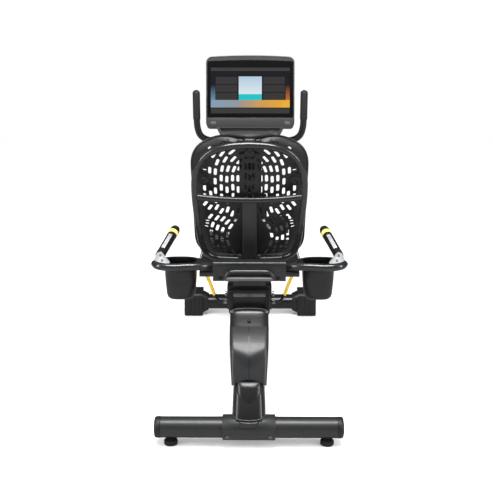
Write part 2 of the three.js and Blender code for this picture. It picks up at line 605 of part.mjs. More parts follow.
function seatBracket() {
  const { halfWidth, y, bottom, top, sheet } = BRACKET;
  const fold = polygon([[y, bottom], [y + sheet, bottom], [y + sheet, top - sheet],
    [y + 60, top - sheet], [y + 60, top], [y, top]]);
  const holes = bothSides((_, sign) => box(sign * 107 - 6, sign * 107 + 6, y - 2, y + 8, 537, 551));
  const plate = cut(alongX(fold, -halfWidth, halfWidth), ...holes);
  const loopY = y - 17;
  const half = [[88, loopY, 543], [86, loopY, 562], [72, loopY, 573], [40, loopY, 574]];
  const loop = join(
    bentRod([...half, ...half.map(([x, a, z]) => [-x, a, z]).reverse()], 7, 26, 4),
    rodX(9, -96, 96, loopY, 541, 16),
    ...bothSides((_, sign) => box(sign * 88 - 6, sign * 88 + 6, loopY, y - GAP, 536, 546)));
  return assembly(
    sub('seat_bracket', plate, framePaint), sub('lift_handle', loop, framePaint));
}

// Straight grip part of each side arm, from the corner casting to the tip.
const GRIP_START = v3(337, 322, 612);
const GRIP_TIP = v3(288, 522, 667);

function sideArm(side, sign) {
  const along = (t) => GRIP_START.clone().lerp(GRIP_TIP, t).toArray();
  const arm = bentRod([[142, 303, 583], [190, 276, 586], [250, 262, 588], [310, 265, 592],
    [338, 284, 600], along(0), along(0.4), along(0.88)], ARM.radius, 30, 5);
  const length = GRIP_START.distanceTo(GRIP_TIP);
  const cap = [[0, 0], [ARM.gripRadius, 0], [ARM.gripRadius, length - 16],
    [ARM.gripRadius * 0.86, length - 5], [ARM.gripRadius * 0.45, length], [0, length]];
  const sleeve = cut(new THREE.LatheGeometry(cap.map(([r, h]) => v2(r, h)), 18),
    new THREE.CylinderGeometry(ARM.radius + 2, ARM.radius + 2, length, 16)
      .translate(0, length / 2 - length * 0.1, 0));
  const turn = new THREE.Quaternion().setFromUnitVectors(v3(0, 1, 0),
    GRIP_TIP.clone().sub(GRIP_START).normalize());
  const grip = sleeve.applyQuaternion(turn).translate(...GRIP_START.toArray());
  const parts = [sub(`side_arm_${side}`, arm, framePaint), sub(`side_grip_${side}`, grip, rubber)];
  if (sign < 0) parts.forEach((part) => mirrorX(part.geometry));
  return parts;
}

function cupHolder(side, sign) {
  const { x, y, outer, bottom, top, wall, corner } = CUP;
  const half = outer / 2;
  const square = (size, r) => roundedRect(x - size, x + size, y - size, y + size, r);
  const well = alongZ(square(half, corner), bottom, top, 3);
  const lip = alongZ(roundedRect(x - 64, x + 66, y - 60, y + 63, 34), top - 8, top, 3);
  const hollow = alongZ(square(half - wall, corner - wall), bottom + wall, top + 1, 3);
  const holder = cut(join(well, lip), hollow);
  return sub(`cup_holder_${side}`, sign < 0 ? mirrorX(holder) : holder, blackPlastic);
}

// ---------------------------------------------------------------- seat lock
function seatLock(side, sign) {
  const { y, z, radius } = LEVER;
  const lever = bentRod([[86.5, y, z], [108, y, z], [128, y, z + 18], [138, y, z + 45],
    [166, y, z + 124]], radius, 14, 4);
  const pin = latheX([[0, 67], [LOCK_PIN.radius, 67], [LOCK_PIN.radius, 90], [10, 90],
    [10, 98], [0, 98]], 16).translate(0, LOCK_PIN.along, LOCK_PIN.down);
  if (sign < 0) {
    mirrorX(lever);
    mirrorX(pin);
  }
  return [sub(`adjust_lever_${side}`, lever, yellowGrip),
    inFrame(RAIL_FRAME, sub(`lock_pin_${side}`, pin, brightSteel))];
}

// ---------------------------------------------------------------- whole bike
const seat = assembly(seatBase(), seatBack(), seatBracket(), bothSides(sideArm),
  bothSides(cupHolder), bothSides(seatLock));
const bike = assembly(rearStabiliser(), rearColumn(), seatRail(), frontFrame(), frontHousings(),
  driveTrain(), shroud(), consoleMast(), handlebar(), consoleHead(), seat);
bike.position.y = REAR_Y;

export default bike;
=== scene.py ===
"""Recumbent exercise bike: the visible pieces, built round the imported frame."""
import math

import bmesh
import bpy
from bpy.props import FloatProperty, FloatVectorProperty, IntProperty, PointerProperty
from mathutils import Matrix, Vector
from mathutils.geometry import delaunay_2d_cdt


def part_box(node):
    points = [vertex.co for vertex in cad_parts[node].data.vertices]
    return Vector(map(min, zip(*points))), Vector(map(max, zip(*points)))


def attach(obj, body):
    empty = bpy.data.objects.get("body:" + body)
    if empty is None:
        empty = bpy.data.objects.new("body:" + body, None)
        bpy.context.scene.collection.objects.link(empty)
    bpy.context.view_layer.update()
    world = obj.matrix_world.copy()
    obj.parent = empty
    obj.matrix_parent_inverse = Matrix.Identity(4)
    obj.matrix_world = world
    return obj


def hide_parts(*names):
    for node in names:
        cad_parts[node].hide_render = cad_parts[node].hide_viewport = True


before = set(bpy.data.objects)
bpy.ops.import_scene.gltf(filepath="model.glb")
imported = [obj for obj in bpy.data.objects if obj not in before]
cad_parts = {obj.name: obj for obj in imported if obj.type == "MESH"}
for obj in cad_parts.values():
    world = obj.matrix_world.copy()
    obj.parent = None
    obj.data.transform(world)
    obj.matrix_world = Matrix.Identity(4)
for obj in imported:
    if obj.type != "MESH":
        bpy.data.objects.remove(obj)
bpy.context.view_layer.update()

bl_info = {
    "name": "Recumbent exercise bike",
    "version": (1, 0, 0),
    "blender": (4, 5, 0),
    "location": "View3D > Sidebar > Bike",
    "description": "Builds the visible pieces of a recumbent exercise bike round its frame",
    "category": "Object",
}

MM = 0.001
SIDES = {"left": -1, "right": 1}
WHEELBASE, BAR_HEIGHT, FOOT_OUT = 1400, 66, 282
CRANK_CENTRE, CLAMP_CENTRE = (0, 1320, 458), (0, 1088, 955)

# Drawing frames: millimetres, X to the rider's right, Y forward from the rear
# stabiliser, Z up from the floor. The three leaning frames follow the CAD's.
REAR_LOW, REAR_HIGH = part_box("rear_stabiliser_tube")
FLOOR_FRAME = Matrix.Translation((0, (REAR_LOW.y + REAR_HIGH.y) / 2, 0)) @ Matrix.Scale(MM, 4)


def leaning(y, z, degrees):
    turn = Matrix.Rotation(math.radians(degrees), 4, "X")
    return FLOOR_FRAME @ Matrix.Translation((0, y, z)) @ turn


RAIL_FRAME = leaning(300, 487, -8)
BACK_FRAME = leaning(440, 573, 20.6)
CONSOLE_FRAME = leaning(1030, 1175, -12)


# ---------------------------------------------------------------- settings
def length(name, about, value):
    return FloatProperty(name=name, description=about, default=value, min=0.0, unit="LENGTH")


def tint(name, about, value):
    return FloatVectorProperty(name=name, description=about, default=value, size=3,
                               subtype="COLOR", min=0.0, max=1.0)


class BikeFinishes(bpy.types.PropertyGroup):
    """Colours of the bike's finishes."""
    frame_paint: tint("Frame paint", "Powder coat of the steel frame", (0.0125, 0.0130, 0.0140))
    moulded_black: tint("Moulded black", "Textured plastic covers", (0.0070, 0.0072, 0.0078))
    gloss_black: tint("Gloss black", "Polished console and shroud", (0.0030, 0.0030, 0.0034))
    grip_rubber: tint("Grip rubber", "Handle grips, feet and tyres", (0.0065, 0.0065, 0.0065))
    cast_silver: tint("Cast silver", "Corner castings and crank arms", (0.30, 0.31, 0.32))
    lever_yellow: tint("Lever yellow", "Seat adjusting levers", (0.80, 0.53, 0.03))
    band_yellow: tint("Band yellow", "Marks on the side grips", (0.93, 0.74, 0.16))
    seat_vinyl: tint("Seat vinyl", "Cover of the cushion", (0.012, 0.012, 0.013))


class BikeSizes(bpy.types.PropertyGroup):
    """Sizes that a user might change."""
    slot_width: length("Slot width", "Width of a slot in the seat back", 0.0112)
    slot_length: length("Slot length", "Length of a slot in the seat back", 0.031)
    slot_pitch: length("Slot pitch", "Distance from slot to slot along a row", 0.039)
    edge_round: length("Edge round", "Rounding of cover edges", 0.0016)
    screw_head: length("Screw head", "Radius of a cover screw's head", 0.0048)
    tube_sides: IntProperty(name="Tube sides", description="Facets round a tube", default=40,
                            min=12, max=96)


def finishes():
    return bpy.context.scene.bike_finishes


def sizes():
    return bpy.context.scene.bike_sizes


# ---------------------------------------------------------------- mesh helpers
def from_box(node):
    """Low and high corners of a node's box, in millimetres of the floor frame."""
    low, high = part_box(node)
    back = FLOOR_FRAME.inverted()
    return back @ low, back @ high


def prism(bm, outline, axis, low, high):
    """Adds a closed outline, extruded along an axis."""
    place = {"X": lambda a, b, t: (t, a, b), "Y": lambda a, b, t: (a, t, b),
             "Z": lambda a, b, t: (a, b, t)}[axis]
    ends = [[bm.verts.new(place(a, b, t)) for a, b in outline] for t in (low, high)]
    bm.faces.new(ends[0])
    bm.faces.new(reversed(ends[1]))
    bridge(bm, *ends)


def bridge(bm, ring, other, closed=True):
    count = len(ring)
    for i in range(count if closed else count - 1):
        j = (i + 1) % count
        bm.faces.new((ring[i], ring[j], other[j], other[i]))


def block(bm, x0, x1, y0, y1, z0, z1):
    prism(bm, [(x0, y0), (x1, y0), (x1, y1), (x0, y1)], "Z", z0, z1)


def loft(bm, rings, caps=True):
    """Joins rings of points with the same count, end to end."""
    made = [[bm.verts.new(p) for p in ring] for ring in rings]
    for ring, other in zip(made, made[1:]):
        bridge(bm, ring, other)
    if caps:
        bm.faces.new(reversed(made[0]))
        bm.faces.new(made[-1])
    return made


def revolve(bm, profile, centre, axis="X", sides=None):
    """Turns a profile of (radius, along) pairs about an axis; radius 0 closes an end."""
    sides = sides or sizes().tube_sides
    order = {"X": (1, 2, 0), "Y": (2, 0, 1), "Z": (0, 1, 2)}[axis]
    previous = None
    for radius, along in profile:
        ring = []
        for i in range(1 if radius == 0 else sides):
            turn = 2 * math.pi * i / sides
            point = [0.0, 0.0, 0.0]
            point[order[0]] = radius * math.cos(turn)
            point[order[1]] = radius * math.sin(turn)
            point[order[2]] = along
            ring.append(bm.verts.new(Vector(centre) + Vector(point)))
        if previous:
            for i in range(sides):
                j = (i + 1) % sides
                corners = [previous[i % len(previous)], previous[j % len(previous)],
                           ring[j % len(ring)], ring[i % len(ring)]]
                bm.faces.new(list(dict.fromkeys(corners)))
        previous = ring


def smooth_path(points, steps=8):
    """Points along a smooth curve through the given ones."""
    pts = [Vector(p) for p in points]
    pts = [2 * pts[0] - pts[1]] + pts + [2 * pts[-1] - pts[-2]]
    path = []
    for a, b, c, d in zip(pts, pts[1:], pts[2:], pts[3:]):
        knots = [0.0]
        for p, q in ((a, b), (b, c), (c, d)):
            knots.append(knots[-1] + max((q - p).length, 1e-6) ** 0.5)
        t0, t1, t2, t3 = knots
        for i in range(steps):
            t = t1 + (t2 - t1) * i / steps
            ab = a.lerp(b, (t - t0) / (t1 - t0))
            bc = b.lerp(c, (t - t1) / (t2 - t1))
            cd = c.lerp(d, (t - t2) / (t3 - t2))
            abc = ab.lerp(bc, (t - t0) / (t2 - t0))
            bcd = bc.lerp(cd, (t - t1) / (t3 - t1))
            path.append(abc.lerp(bcd, (t - t1) / (t2 - t1)))
    return path + [pts[-2]]


def sweep(bm, path, section, closed=False, round_ends=0.0):
    """Carries a section of (a, b) points, or a radius, along a path without twist."""
    if isinstance(section, (int, float)):
        sides = sizes().tube_sides
        section = [(section * c, section * d) for c, d in circle(sides)]
    count = len(path)
    tangents = []
    for i in range(count):
        before = path[i - 1] if (i or closed) else path[i]
        after = path[(i + 1) % count] if (i < count - 1 or closed) else path[i]
        tangents.append((after - before).normalized())
    side = tangents[0].orthogonal().normalized()
    if abs(tangents[0].z) < 0.9:
        side = tangents[0].cross(Vector((0, 0, 1))).normalized()
    stations = []
    for point, tangent in zip(path, tangents):
        side = (side - tangent * side.dot(tangent)).normalized()
        stations.append((point, side.copy(), tangent.cross(side)))
    rings = [(p, s, u, 1.0) for p, s, u in stations]
    if round_ends:
        reach = [(math.sin(t), math.cos(t)) for t in (0.35, 0.75, 1.1, 1.35)]
        for grow, keep in reach:
            p, s, u = stations[0]
            rings.insert(0, (p - tangents[0] * round_ends * grow, s, u, keep))
            p, s, u = stations[-1]
            rings.append((p + tangents[-1] * round_ends * grow, s, u, keep))
    made = [[p + s * a * k + u * b * k for a, b in section] for p, s, u, k in rings]
    if closed:
        made.append(made[0])
        verts = loft(bm, made, caps=False)
        bmesh.ops.remove_doubles(bm, verts=[v for ring in verts for v in ring], dist=0.001)
    else:
        loft(bm, made)


def rounded(x0, x1, y0, y1, radius, steps=6):
    """Outline of a rectangle with round corners."""
    corners = [(x1 - radius, y0 + radius, -90), (x1 - radius, y1 - radius, 0),
               (x0 + radius, y1 - radius, 90), (x0 + radius, y0 + radius, 180)]
    outline = []
    for cx, cy, start in corners:
        for i in range(steps + 1):
            turn = math.radians(start + 90 * i / steps)
            outline.append((cx + radius * math.cos(turn), cy + radius * math.sin(turn)))
    return outline


def circle(count):
    """Cosine and sine of equal turns round a circle."""
    turns = [2 * math.pi * k / count for k in range(count)]
    return [(math.cos(turn), math.sin(turn)) for turn in turns]


def squared(wave, power):
    """A sine or cosine raised to a power with its sign kept: under 1 squares a ring off."""
    return math.copysign(abs(wave) ** power, wave)


def soften(bm, width, segments=2, angle=28):
    """Rounds every edge whose faces meet at more than the angle."""
    bmesh.ops.recalc_face_normals(bm, faces=bm.faces)
    limit = math.radians(angle)
    edges = [e for e in bm.edges if len(e.link_faces) == 2 and e.calc_face_angle(0) > limit]
    bmesh.ops.bevel(bm, geom=edges, offset=width, offset_type="OFFSET", segments=segments,
                    profile=0.5, affect="EDGES", clamp_overlap=True)


def piece(name, bm, material, body, nodes=(), place=FLOOR_FRAME, smooth=35):
    """Turns a drawing in millimetres into a finished piece that rides on a body."""
    bmesh.ops.transform(bm, matrix=place, verts=bm.verts)
    bmesh.ops.recalc_face_normals(bm, faces=bm.faces)
    mesh = bpy.data.meshes.new(name)
    bm.to_mesh(mesh)
    bm.free()
    return piece_from_mesh(name, mesh, material, body, nodes, smooth)


def piece_from_mesh(name, mesh, material, body, nodes=(), smooth=35):
    mesh.shade_smooth()
    mesh.set_sharp_from_angle(angle=math.radians(smooth))
    if material and not mesh.materials:
        mesh.materials.append(material)
    obj = bpy.data.objects.new(name, mesh)
    bpy.context.scene.collection.objects.link(obj)
    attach(obj, body)
    if nodes:
        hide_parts(*nodes)
    return obj


def cut(bm, *tools):
    """Takes closed tool shapes out of a closed shape; every tool is drawn by a function."""
    base = bpy.data.meshes.new("cut_base")
    bmesh.ops.recalc_face_normals(bm, faces=bm.faces)
    bm.to_mesh(base)
    work = bpy.data.objects.new("cut_work", base)
    bpy.context.scene.collection.objects.link(work)
    helpers = []
    for draw in tools:
        tool_bm = bmesh.new()
        draw(tool_bm)
        bmesh.ops.recalc_face_normals(tool_bm, faces=tool_bm.faces)
        tool_mesh = bpy.data.meshes.new("cut_tool")
        tool_bm.to_mesh(tool_mesh)
        tool_bm.free()
        tool = bpy.data.objects.new("cut_tool", tool_mesh)
        bpy.context.scene.collection.objects.link(tool)
        helpers.append(tool)
        modifier = work.modifiers.new("cut", "BOOLEAN")
        modifier.object = tool
        modifier.operation = "DIFFERENCE"
        modifier.solver = "EXACT"
    graph = bpy.context.evaluated_depsgraph_get()
    result = bpy.data.meshes.new_from_object(work.evaluated_get(graph), depsgraph=graph)
    bm.clear()
    bm.from_mesh(result)
    for obj in [work, *helpers]:
        data = obj.data
        bpy.data.objects.remove(obj)
        bpy.data.meshes.remove(data)
    bpy.data.meshes.remove(result)


# ---------------------------------------------------------------- node helpers
def add(tree, kind, **values):
    """Adds a node; keyword values are its settings."""
    node = tree.nodes.new(kind)
    for key, value in values.items():
        setattr(node, key, value)
    return node


def new_group(name, inputs, outputs, kind="ShaderNodeTree"):
    """A node group with named sockets: inputs are (name, type, default)."""
    tree = bpy.data.node_groups.new(name, kind)
    for label, socket, default in inputs:
        item = tree.interface.new_socket(label, in_out="INPUT", socket_type=socket)
        if default is not None:
            item.default_value = default
    for label, socket in outputs:
        tree.interface.new_socket(label, in_out="OUTPUT", socket_type=socket)
    return tree, add(tree, "NodeGroupInput"), add(tree, "NodeGroupOutput")


def surface_grain():
    """Fine moulded or sprayed grain and slow unevenness, from the place on the piece."""
    if "Surface grain" in bpy.data.node_groups:
        return bpy.data.node_groups["Surface grain"]
    tree, ins, outs = new_group(
        "Surface grain",
        [("Grain scale", "NodeSocketFloat", 900.0), ("Patch scale", "NodeSocketFloat", 9.0)],
        [("Height", "NodeSocketFloat"), ("Patches", "NodeSocketFloat")])
    place = add(tree, "ShaderNodeTexCoord")
    fine = add(tree, "ShaderNodeTexNoise", noise_dimensions="3D")
    fine.inputs["Detail"].default_value = 3.0
    cells = add(tree, "ShaderNodeTexVoronoi", feature="SMOOTH_F1")
    patches = add(tree, "ShaderNodeTexNoise")
    patches.inputs["Detail"].default_value = 4.0
    blend = add(tree, "ShaderNodeMath", operation="ADD")
    link = tree.links.new
    for texture, scale in ((fine, "Grain scale"), (cells, "Grain scale"),
                           (patches, "Patch scale")):
        link(place.outputs["Object"], texture.inputs["Vector"])
        link(ins.outputs[scale], texture.inputs["Scale"])
    link(fine.outputs["Fac"], blend.inputs[0])
    link(cells.outputs["Distance"], blend.inputs[1])
    link(blend.outputs[0], outs.inputs["Height"])
    link(patches.outputs["Fac"], outs.inputs["Patches"])
    return tree


def settled_dust():
    """Faint dust on surfaces that face up, broken up by noise."""
    if "Settled dust" in bpy.data.node_groups:
        return bpy.data.node_groups["Settled dust"]
    tree, ins, outs = new_group("Settled dust", [("Amount", "NodeSocketFloat", 0.1)],
                                [("Mask", "NodeSocketFloat")])
    facing = add(tree, "ShaderNodeNewGeometry")
    split = add(tree, "ShaderNodeSeparateXYZ")
    place = add(tree, "ShaderNodeTexCoord")
    noise = add(tree, "ShaderNodeTexNoise")
    noise.inputs["Scale"].default_value = 60.0
    upward = add(tree, "ShaderNodeMapRange")
    upward.inputs["From Min"].default_value = 0.35
    broken = add(tree, "ShaderNodeMath", operation="MULTIPLY")
    scaled = add(tree, "ShaderNodeMath", operation="MULTIPLY", use_clamp=True)
    link = tree.links.new
    link(facing.outputs["Normal"], split.inputs[0])
    link(split.outputs["Z"], upward.inputs["Value"])
    link(place.outputs["Object"], noise.inputs["Vector"])
    link(upward.outputs[0], broken.inputs[0])
    link(noise.outputs["Fac"], broken.inputs[1])
    link(broken.outputs[0], scaled.inputs[0])
    link(ins.outputs["Amount"], scaled.inputs[1])
    link(scaled.outputs[0], outs.inputs["Mask"])
    return tree


def finish(name, colour, roughness, metallic=0.0, grain=900.0, bump=0.05, uneven=0.06,
           coat=0.0, dust=0.03, specular=0.5):
    """A moulded, sprayed or cast finish with grain, unevenness and a little dust."""
    if name in bpy.data.materials:
        return bpy.data.materials[name]
    material = bpy.data.materials.new(name)
    material.use_nodes = True
    tree = material.node_tree
    shader = tree.nodes["Principled BSDF"]
    shader.inputs["Metallic"].default_value = metallic
    shader.inputs["Coat Weight"].default_value = coat
    shader.inputs["Coat Roughness"].default_value = 0.12
    shader.inputs["Specular IOR Level"].default_value = specular
    texture = add(tree, "ShaderNodeGroup", node_tree=surface_grain())
    texture.inputs["Grain scale"].default_value = grain
    powder = add(tree, "ShaderNodeGroup", node_tree=settled_dust())
    powder.inputs["Amount"].default_value = dust
    tone = add(tree, "ShaderNodeMix", data_type="RGBA")
    tone.inputs["A"].default_value = (*[c * 0.85 for c in colour], 1)
    tone.inputs["B"].default_value = (*[min(1, c * 1.2) for c in colour], 1)
    dusty = add(tree, "ShaderNodeMix", data_type="RGBA")
    dusty.inputs["B"].default_value = (0.35, 0.34, 0.33, 1)
    rough = add(tree, "ShaderNodeMapRange")
    rough.inputs["To Min"].default_value = max(0.02, roughness - uneven)
    rough.inputs["To Max"].default_value = min(1.0, roughness + uneven)
    relief = add(tree, "ShaderNodeBump")
    relief.inputs["Strength"].default_value = bump
    relief.inputs["Distance"].default_value = 0.0004
    link = tree.links.new
    link(texture.outputs["Patches"], tone.inputs["Factor"])
    link(tone.outputs["Result"], dusty.inputs["A"])
    link(powder.outputs["Mask"], dusty.inputs["Factor"])
    link(dusty.outputs["Result"], shader.inputs["Base Color"])
    link(texture.outputs["Patches"], rough.inputs["Value"])
    link(rough.outputs[0], shader.inputs["Roughness"])
    link(texture.outputs["Height"], relief.inputs["Height"])
    link(relief.outputs[0], shader.inputs["Normal"])
    return material


def powder_coat():
    return finish("powder_coat", finishes().frame_paint, 0.40, grain=1500, bump=0.22,
                  coat=0.15)


def moulded_black():
    return finish("moulded_black", finishes().moulded_black, 0.46, grain=1800, bump=0.25)


def satin_black():
    return finish("satin_black", finishes().moulded_black, 0.30, grain=1400, bump=0.08,
                  coat=0.1)


def gloss_black():
    return finish("gloss_black", finishes().gloss_black, 0.16, grain=700, bump=0.015,
                  uneven=0.03, coat=0.2, specular=0.3)


def grip_rubber():
    return finish("grip_rubber", finishes().grip_rubber, 0.62, grain=2600, bump=0.5,
                  uneven=0.1)


def cast_silver():
    return finish("cast_silver", finishes().cast_silver, 0.46, metallic=0.2, grain=1100,
                  bump=0.35)


def machined_steel():
    return finish("machined_steel", (0.52, 0.53, 0.54), 0.26, metallic=1.0, grain=2200,
                  bump=0.08)


def lever_yellow():
    return finish("lever_yellow", finishes().lever_yellow, 0.34, grain=1200, bump=0.08,
                  coat=0.2)


def band_yellow():
    return finish("band_yellow", finishes().band_yellow, 0.45, grain=1500, bump=0.1)


# Near-black finish: painted shade on the plates and discs that stand in for holes, and the own
# dark colour of the console's sensor window.
def dark_recess():
    return finish("dark_recess", (0.004, 0.004, 0.004), 0.7, grain=900, bump=0.1)


# ---------------------------------------------------------------- screen picture
def picture_tone(tree, x, z):
    """Colour of the console's picture: plain panels, a sky and a landscape band."""
    link = tree.links.new

    def above(value, limit):
        node = add(tree, "ShaderNodeMath", operation="GREATER_THAN")
        link(value, node.inputs[0])
        node.inputs[1].default_value = limit
        return node.outputs[0]

    def both(a, b, operation="MULTIPLY"):
        node = add(tree, "ShaderNodeMath", operation=operation)
        link(a, node.inputs[0])
        link(b, node.inputs[1])
        return node.outputs[0]

    def inside(value, low, high):
        return both(above(value, low), above(value, high), "SUBTRACT")

    def over(base, mask, colour):
        node = add(tree, "ShaderNodeMix", data_type="RGBA")
        link(mask, node.inputs["Factor"])
        for source, socket in ((base, "A"), (colour, "B")):
            if isinstance(source, tuple):
                node.inputs[socket].default_value = (*source, 1)
            else:
                link(source, node.inputs[socket])
        return node.outputs["Result"]

    def ramp(value, low, high, stops):
        place = add(tree, "ShaderNodeMapRange")
        link(value, place.inputs["Value"])
        place.inputs["From Min"].default_value = low
        place.inputs["From Max"].default_value = high
        node = add(tree, "ShaderNodeValToRGB")
        while len(node.color_ramp.elements) < len(stops):
            node.color_ramp.elements.new(0.5)
        for element, (at, colour) in zip(node.color_ramp.elements, stops):
            element.position = at
            element.color = (*colour, 1)
        link(place.outputs[0], node.inputs[0])
        return node.outputs[0]

    colour = over((0.004, 0.004, 0.006), inside(z, 0.1015, 0.2), (0.046, 0.047, 0.041))
    colour = over(colour, inside(z, -0.2, -0.0635), (0.040, 0.041, 0.034))
    for low, high in ((-0.154, -0.058), (0.058, 0.154)):
        column = inside(x, low, high)
        for base in (-0.0267, 0.0087, 0.0441):
            tile = both(column, inside(z, base, base + 0.0314))
            colour = over(colour, tile, (0.033, 0.033, 0.031))
    middle = inside(x, -0.0515, 0.0515)
    sky = ramp(z, 0.003, 0.073, ((0.0, (0.78, 0.86, 0.9)), (0.55, (0.62, 0.76, 0.86)),
                                 (1.0, (0.5, 0.66, 0.8))))
    colour = over(colour, both(middle, inside(z, -0.0007, 0.0773)), sky)
    colour = over(colour, both(middle, inside(z, -0.0267, -0.0007)), (0.01, 0.60, 0.66))
    haze = add(tree, "ShaderNodeTexNoise")
    haze.inputs["Scale"].default_value = 22.0
    ripple = add(tree, "ShaderNodeCombineXYZ")
    link(x, ripple.inputs[0])
    link(z, ripple.inputs[2])
    link(ripple.outputs[0], haze.inputs["Vector"])
    wave = add(tree, "ShaderNodeMath", operation="MULTIPLY_ADD")
    link(haze.outputs["Fac"], wave.inputs[0])
    wave.inputs[1].default_value = 0.09
    link(x, wave.inputs[2])
    land = ramp(wave.outputs[0], -0.13, 0.22,
                ((0.0, (0.24, 0.37, 0.52)), (0.30, (0.30, 0.34, 0.38)), (0.45, (0.42, 0.33, 0.24)),
                 (0.62, (0.68, 0.36, 0.09)), (0.85, (0.86, 0.40, 0.03)), (1.0, (0.9, 0.5, 0.05))))
    colour = over(colour, inside(z, -0.0599, -0.0267), land)
    fade = add(tree, "ShaderNodeMapRange")
    fade.inputs["From Min"].default_value = 0.040
    fade.inputs["From Max"].default_value = -0.030
    link(z, fade.inputs["Value"])
    glow = both(fade.outputs[0], inside(z, -0.0267, 0.05))
    colour = over(colour, both(glow, inside(x, -0.2, -0.1557)), (0.16, 0.30, 0.44))
    return over(colour, both(glow, inside(x, 0.1579, 0.2)), (0.62, 0.16, 0.03))


def screen_glass():
    """Lit screen behind smooth glass; its picture is drawn from the place on the glass."""
    if "screen_picture" in bpy.data.materials:
        return bpy.data.materials["screen_picture"]
    material = bpy.data.materials.new("screen_picture")
    material.use_nodes = True
    tree = material.node_tree
    shader = tree.nodes["Principled BSDF"]
    shader.inputs["Roughness"].default_value = 0.12
    shader.inputs["Base Color"].default_value = (0.004, 0.004, 0.005, 1)
    coords = add(tree, "ShaderNodeUVMap", uv_map="picture")
    split = add(tree, "ShaderNodeSeparateXYZ")
    tree.links.new(coords.outputs[0], split.inputs[0])
    colour = picture_tone(tree, split.outputs[0], split.outputs[1])
    tree.links.new(colour, shader.inputs["Emission Color"])
    shader.inputs["Emission Strength"].default_value = 0.9
    smear = add(tree, "ShaderNodeGroup", node_tree=surface_grain())
    smear.inputs["Grain scale"].default_value = 300.0
    relief = add(tree, "ShaderNodeBump")
    relief.inputs["Strength"].default_value = 0.01
    tree.links.new(smear.outputs["Height"], relief.inputs["Height"])
    tree.links.new(relief.outputs[0], shader.inputs["Normal"])
    return material


def floor_finish():
    if "studio_floor" in bpy.data.materials:
        return bpy.data.materials["studio_floor"]
    material = bpy.data.materials.new("studio_floor")
    material.use_nodes = True
    tree = material.node_tree
    shader = tree.nodes["Principled BSDF"]
    place = add(tree, "ShaderNodeTexCoord")
    noise = add(tree, "ShaderNodeTexNoise")
    noise.inputs["Scale"].default_value = 3.0
    tone = add(tree, "ShaderNodeMix", data_type="RGBA")
    tone.inputs["A"].default_value = (0.95, 0.95, 0.95, 1)
    tone.inputs["B"].default_value = (0.98, 0.98, 0.98, 1)
    rays = add(tree, "ShaderNodeLightPath")
    seen = add(tree, "ShaderNodeMix", data_type="RGBA")
    seen.inputs["B"].default_value = (0.22, 0.22, 0.22, 1)
    tree.links.new(rays.outputs["Is Glossy Ray"], seen.inputs["Factor"])
    tree.links.new(place.outputs["Object"], noise.inputs["Vector"])
    tree.links.new(noise.outputs["Fac"], tone.inputs["Factor"])
    tree.links.new(tone.outputs["Result"], seen.inputs["A"])
    tree.links.new(seen.outputs["Result"], shader.inputs["Base Color"])
    shader.inputs["Roughness"].default_value = 0.85
    shader.inputs["Emission Color"].default_value = (1, 1, 1, 1)
    shader.inputs["Emission Strength"].default_value = 0.07
    return material


# ---------------------------------------------------------------- stage
def soft_light(name, size, energy, place, aim):
    data = bpy.data.lights.new(name, "AREA")
    data.shape = "RECTANGLE"
    data.size, data.size_y = size
    data.energy = energy
    lamp = bpy.data.objects.new(name, data)
    lamp.location = place
    lamp.rotation_euler = (Vector(aim) - Vector(place)).to_track_quat("-Z", "Y").to_euler()
    bpy.context.scene.collection.objects.link(lamp)
    return lamp


class BIKE_OT_stage(bpy.types.Operator):
    """Pale floor, soft lights and the camera behind the seat"""
    bl_idname = "bike.stage"
    bl_label = "Studio"

    def execute(self, context):
        bm = bmesh.new()
        block(bm, -6000, 6000, -6000, 7500, -10, -0.5)
        bmesh.ops.transform(bm, matrix=Matrix.Scale(MM, 4), verts=bm.verts)
        mesh = bpy.data.meshes.new("floor")
        bm.to_mesh(mesh)
        bm.free()
        mesh.materials.append(floor_finish())
        floor = bpy.data.objects.new("floor", mesh)
        context.scene.collection.objects.link(floor)
        aim = (0, 0, 0.6)
        lamps = [
            soft_light("light_above", (1.7, 0.9), 92, (0.0, -1.1, 2.9), (0, -0.3, 0.5)),
            soft_light("light_left", (0.35, 2.0), 34, (-2.3, -1.9, 1.5), aim),
            soft_light("light_right", (0.35, 2.0), 34, (2.3, -1.9, 1.5), aim),
            soft_light("light_behind", (1.6, 0.3), 12, (0.0, -2.1, 3.4), aim),
        ]
        world = bpy.data.worlds.new("studio")
        world.use_nodes = True
        tree = world.node_tree
        background = tree.nodes["Background"]
        rays = add(tree, "ShaderNodeLightPath")
        level = add(tree, "ShaderNodeMapRange")
        level.inputs["To Min"].default_value = 1.0
        level.inputs["To Max"].default_value = 0.05
        tree.links.new(rays.outputs["Is Glossy Ray"], level.inputs["Value"])
        tree.links.new(level.outputs[0], background.inputs["Strength"])
        background.inputs["Color"].default_value = (1.0, 1.0, 1.0, 1)
        context.scene.world = world
        context.scene.view_settings.view_transform = "Standard"
        data = bpy.data.cameras.new("camera")
        data.lens = 60.3
        data.sensor_width = 36.0
        camera = bpy.data.objects.new("camera", data)
        camera.location = (0.012, -3.4395, 1.463)
        camera.rotation_euler = (math.radians(90 - 15.02), 0, math.radians(0.44))
        context.scene.collection.objects.link(camera)
        context.scene.camera = camera
        return {"FINISHED"}


# ---------------------------------------------------------------- repeated details
def fixed_input(modifier, tree, **values):
    """Sets a node modifier's inputs by the names of the group's sockets."""
    for item in tree.interface.items_tree:
        key = item.name.replace(" ", "_").lower()
        if item.in_out == "INPUT" and key in values:
            modifier[item.identifier] = values[key]


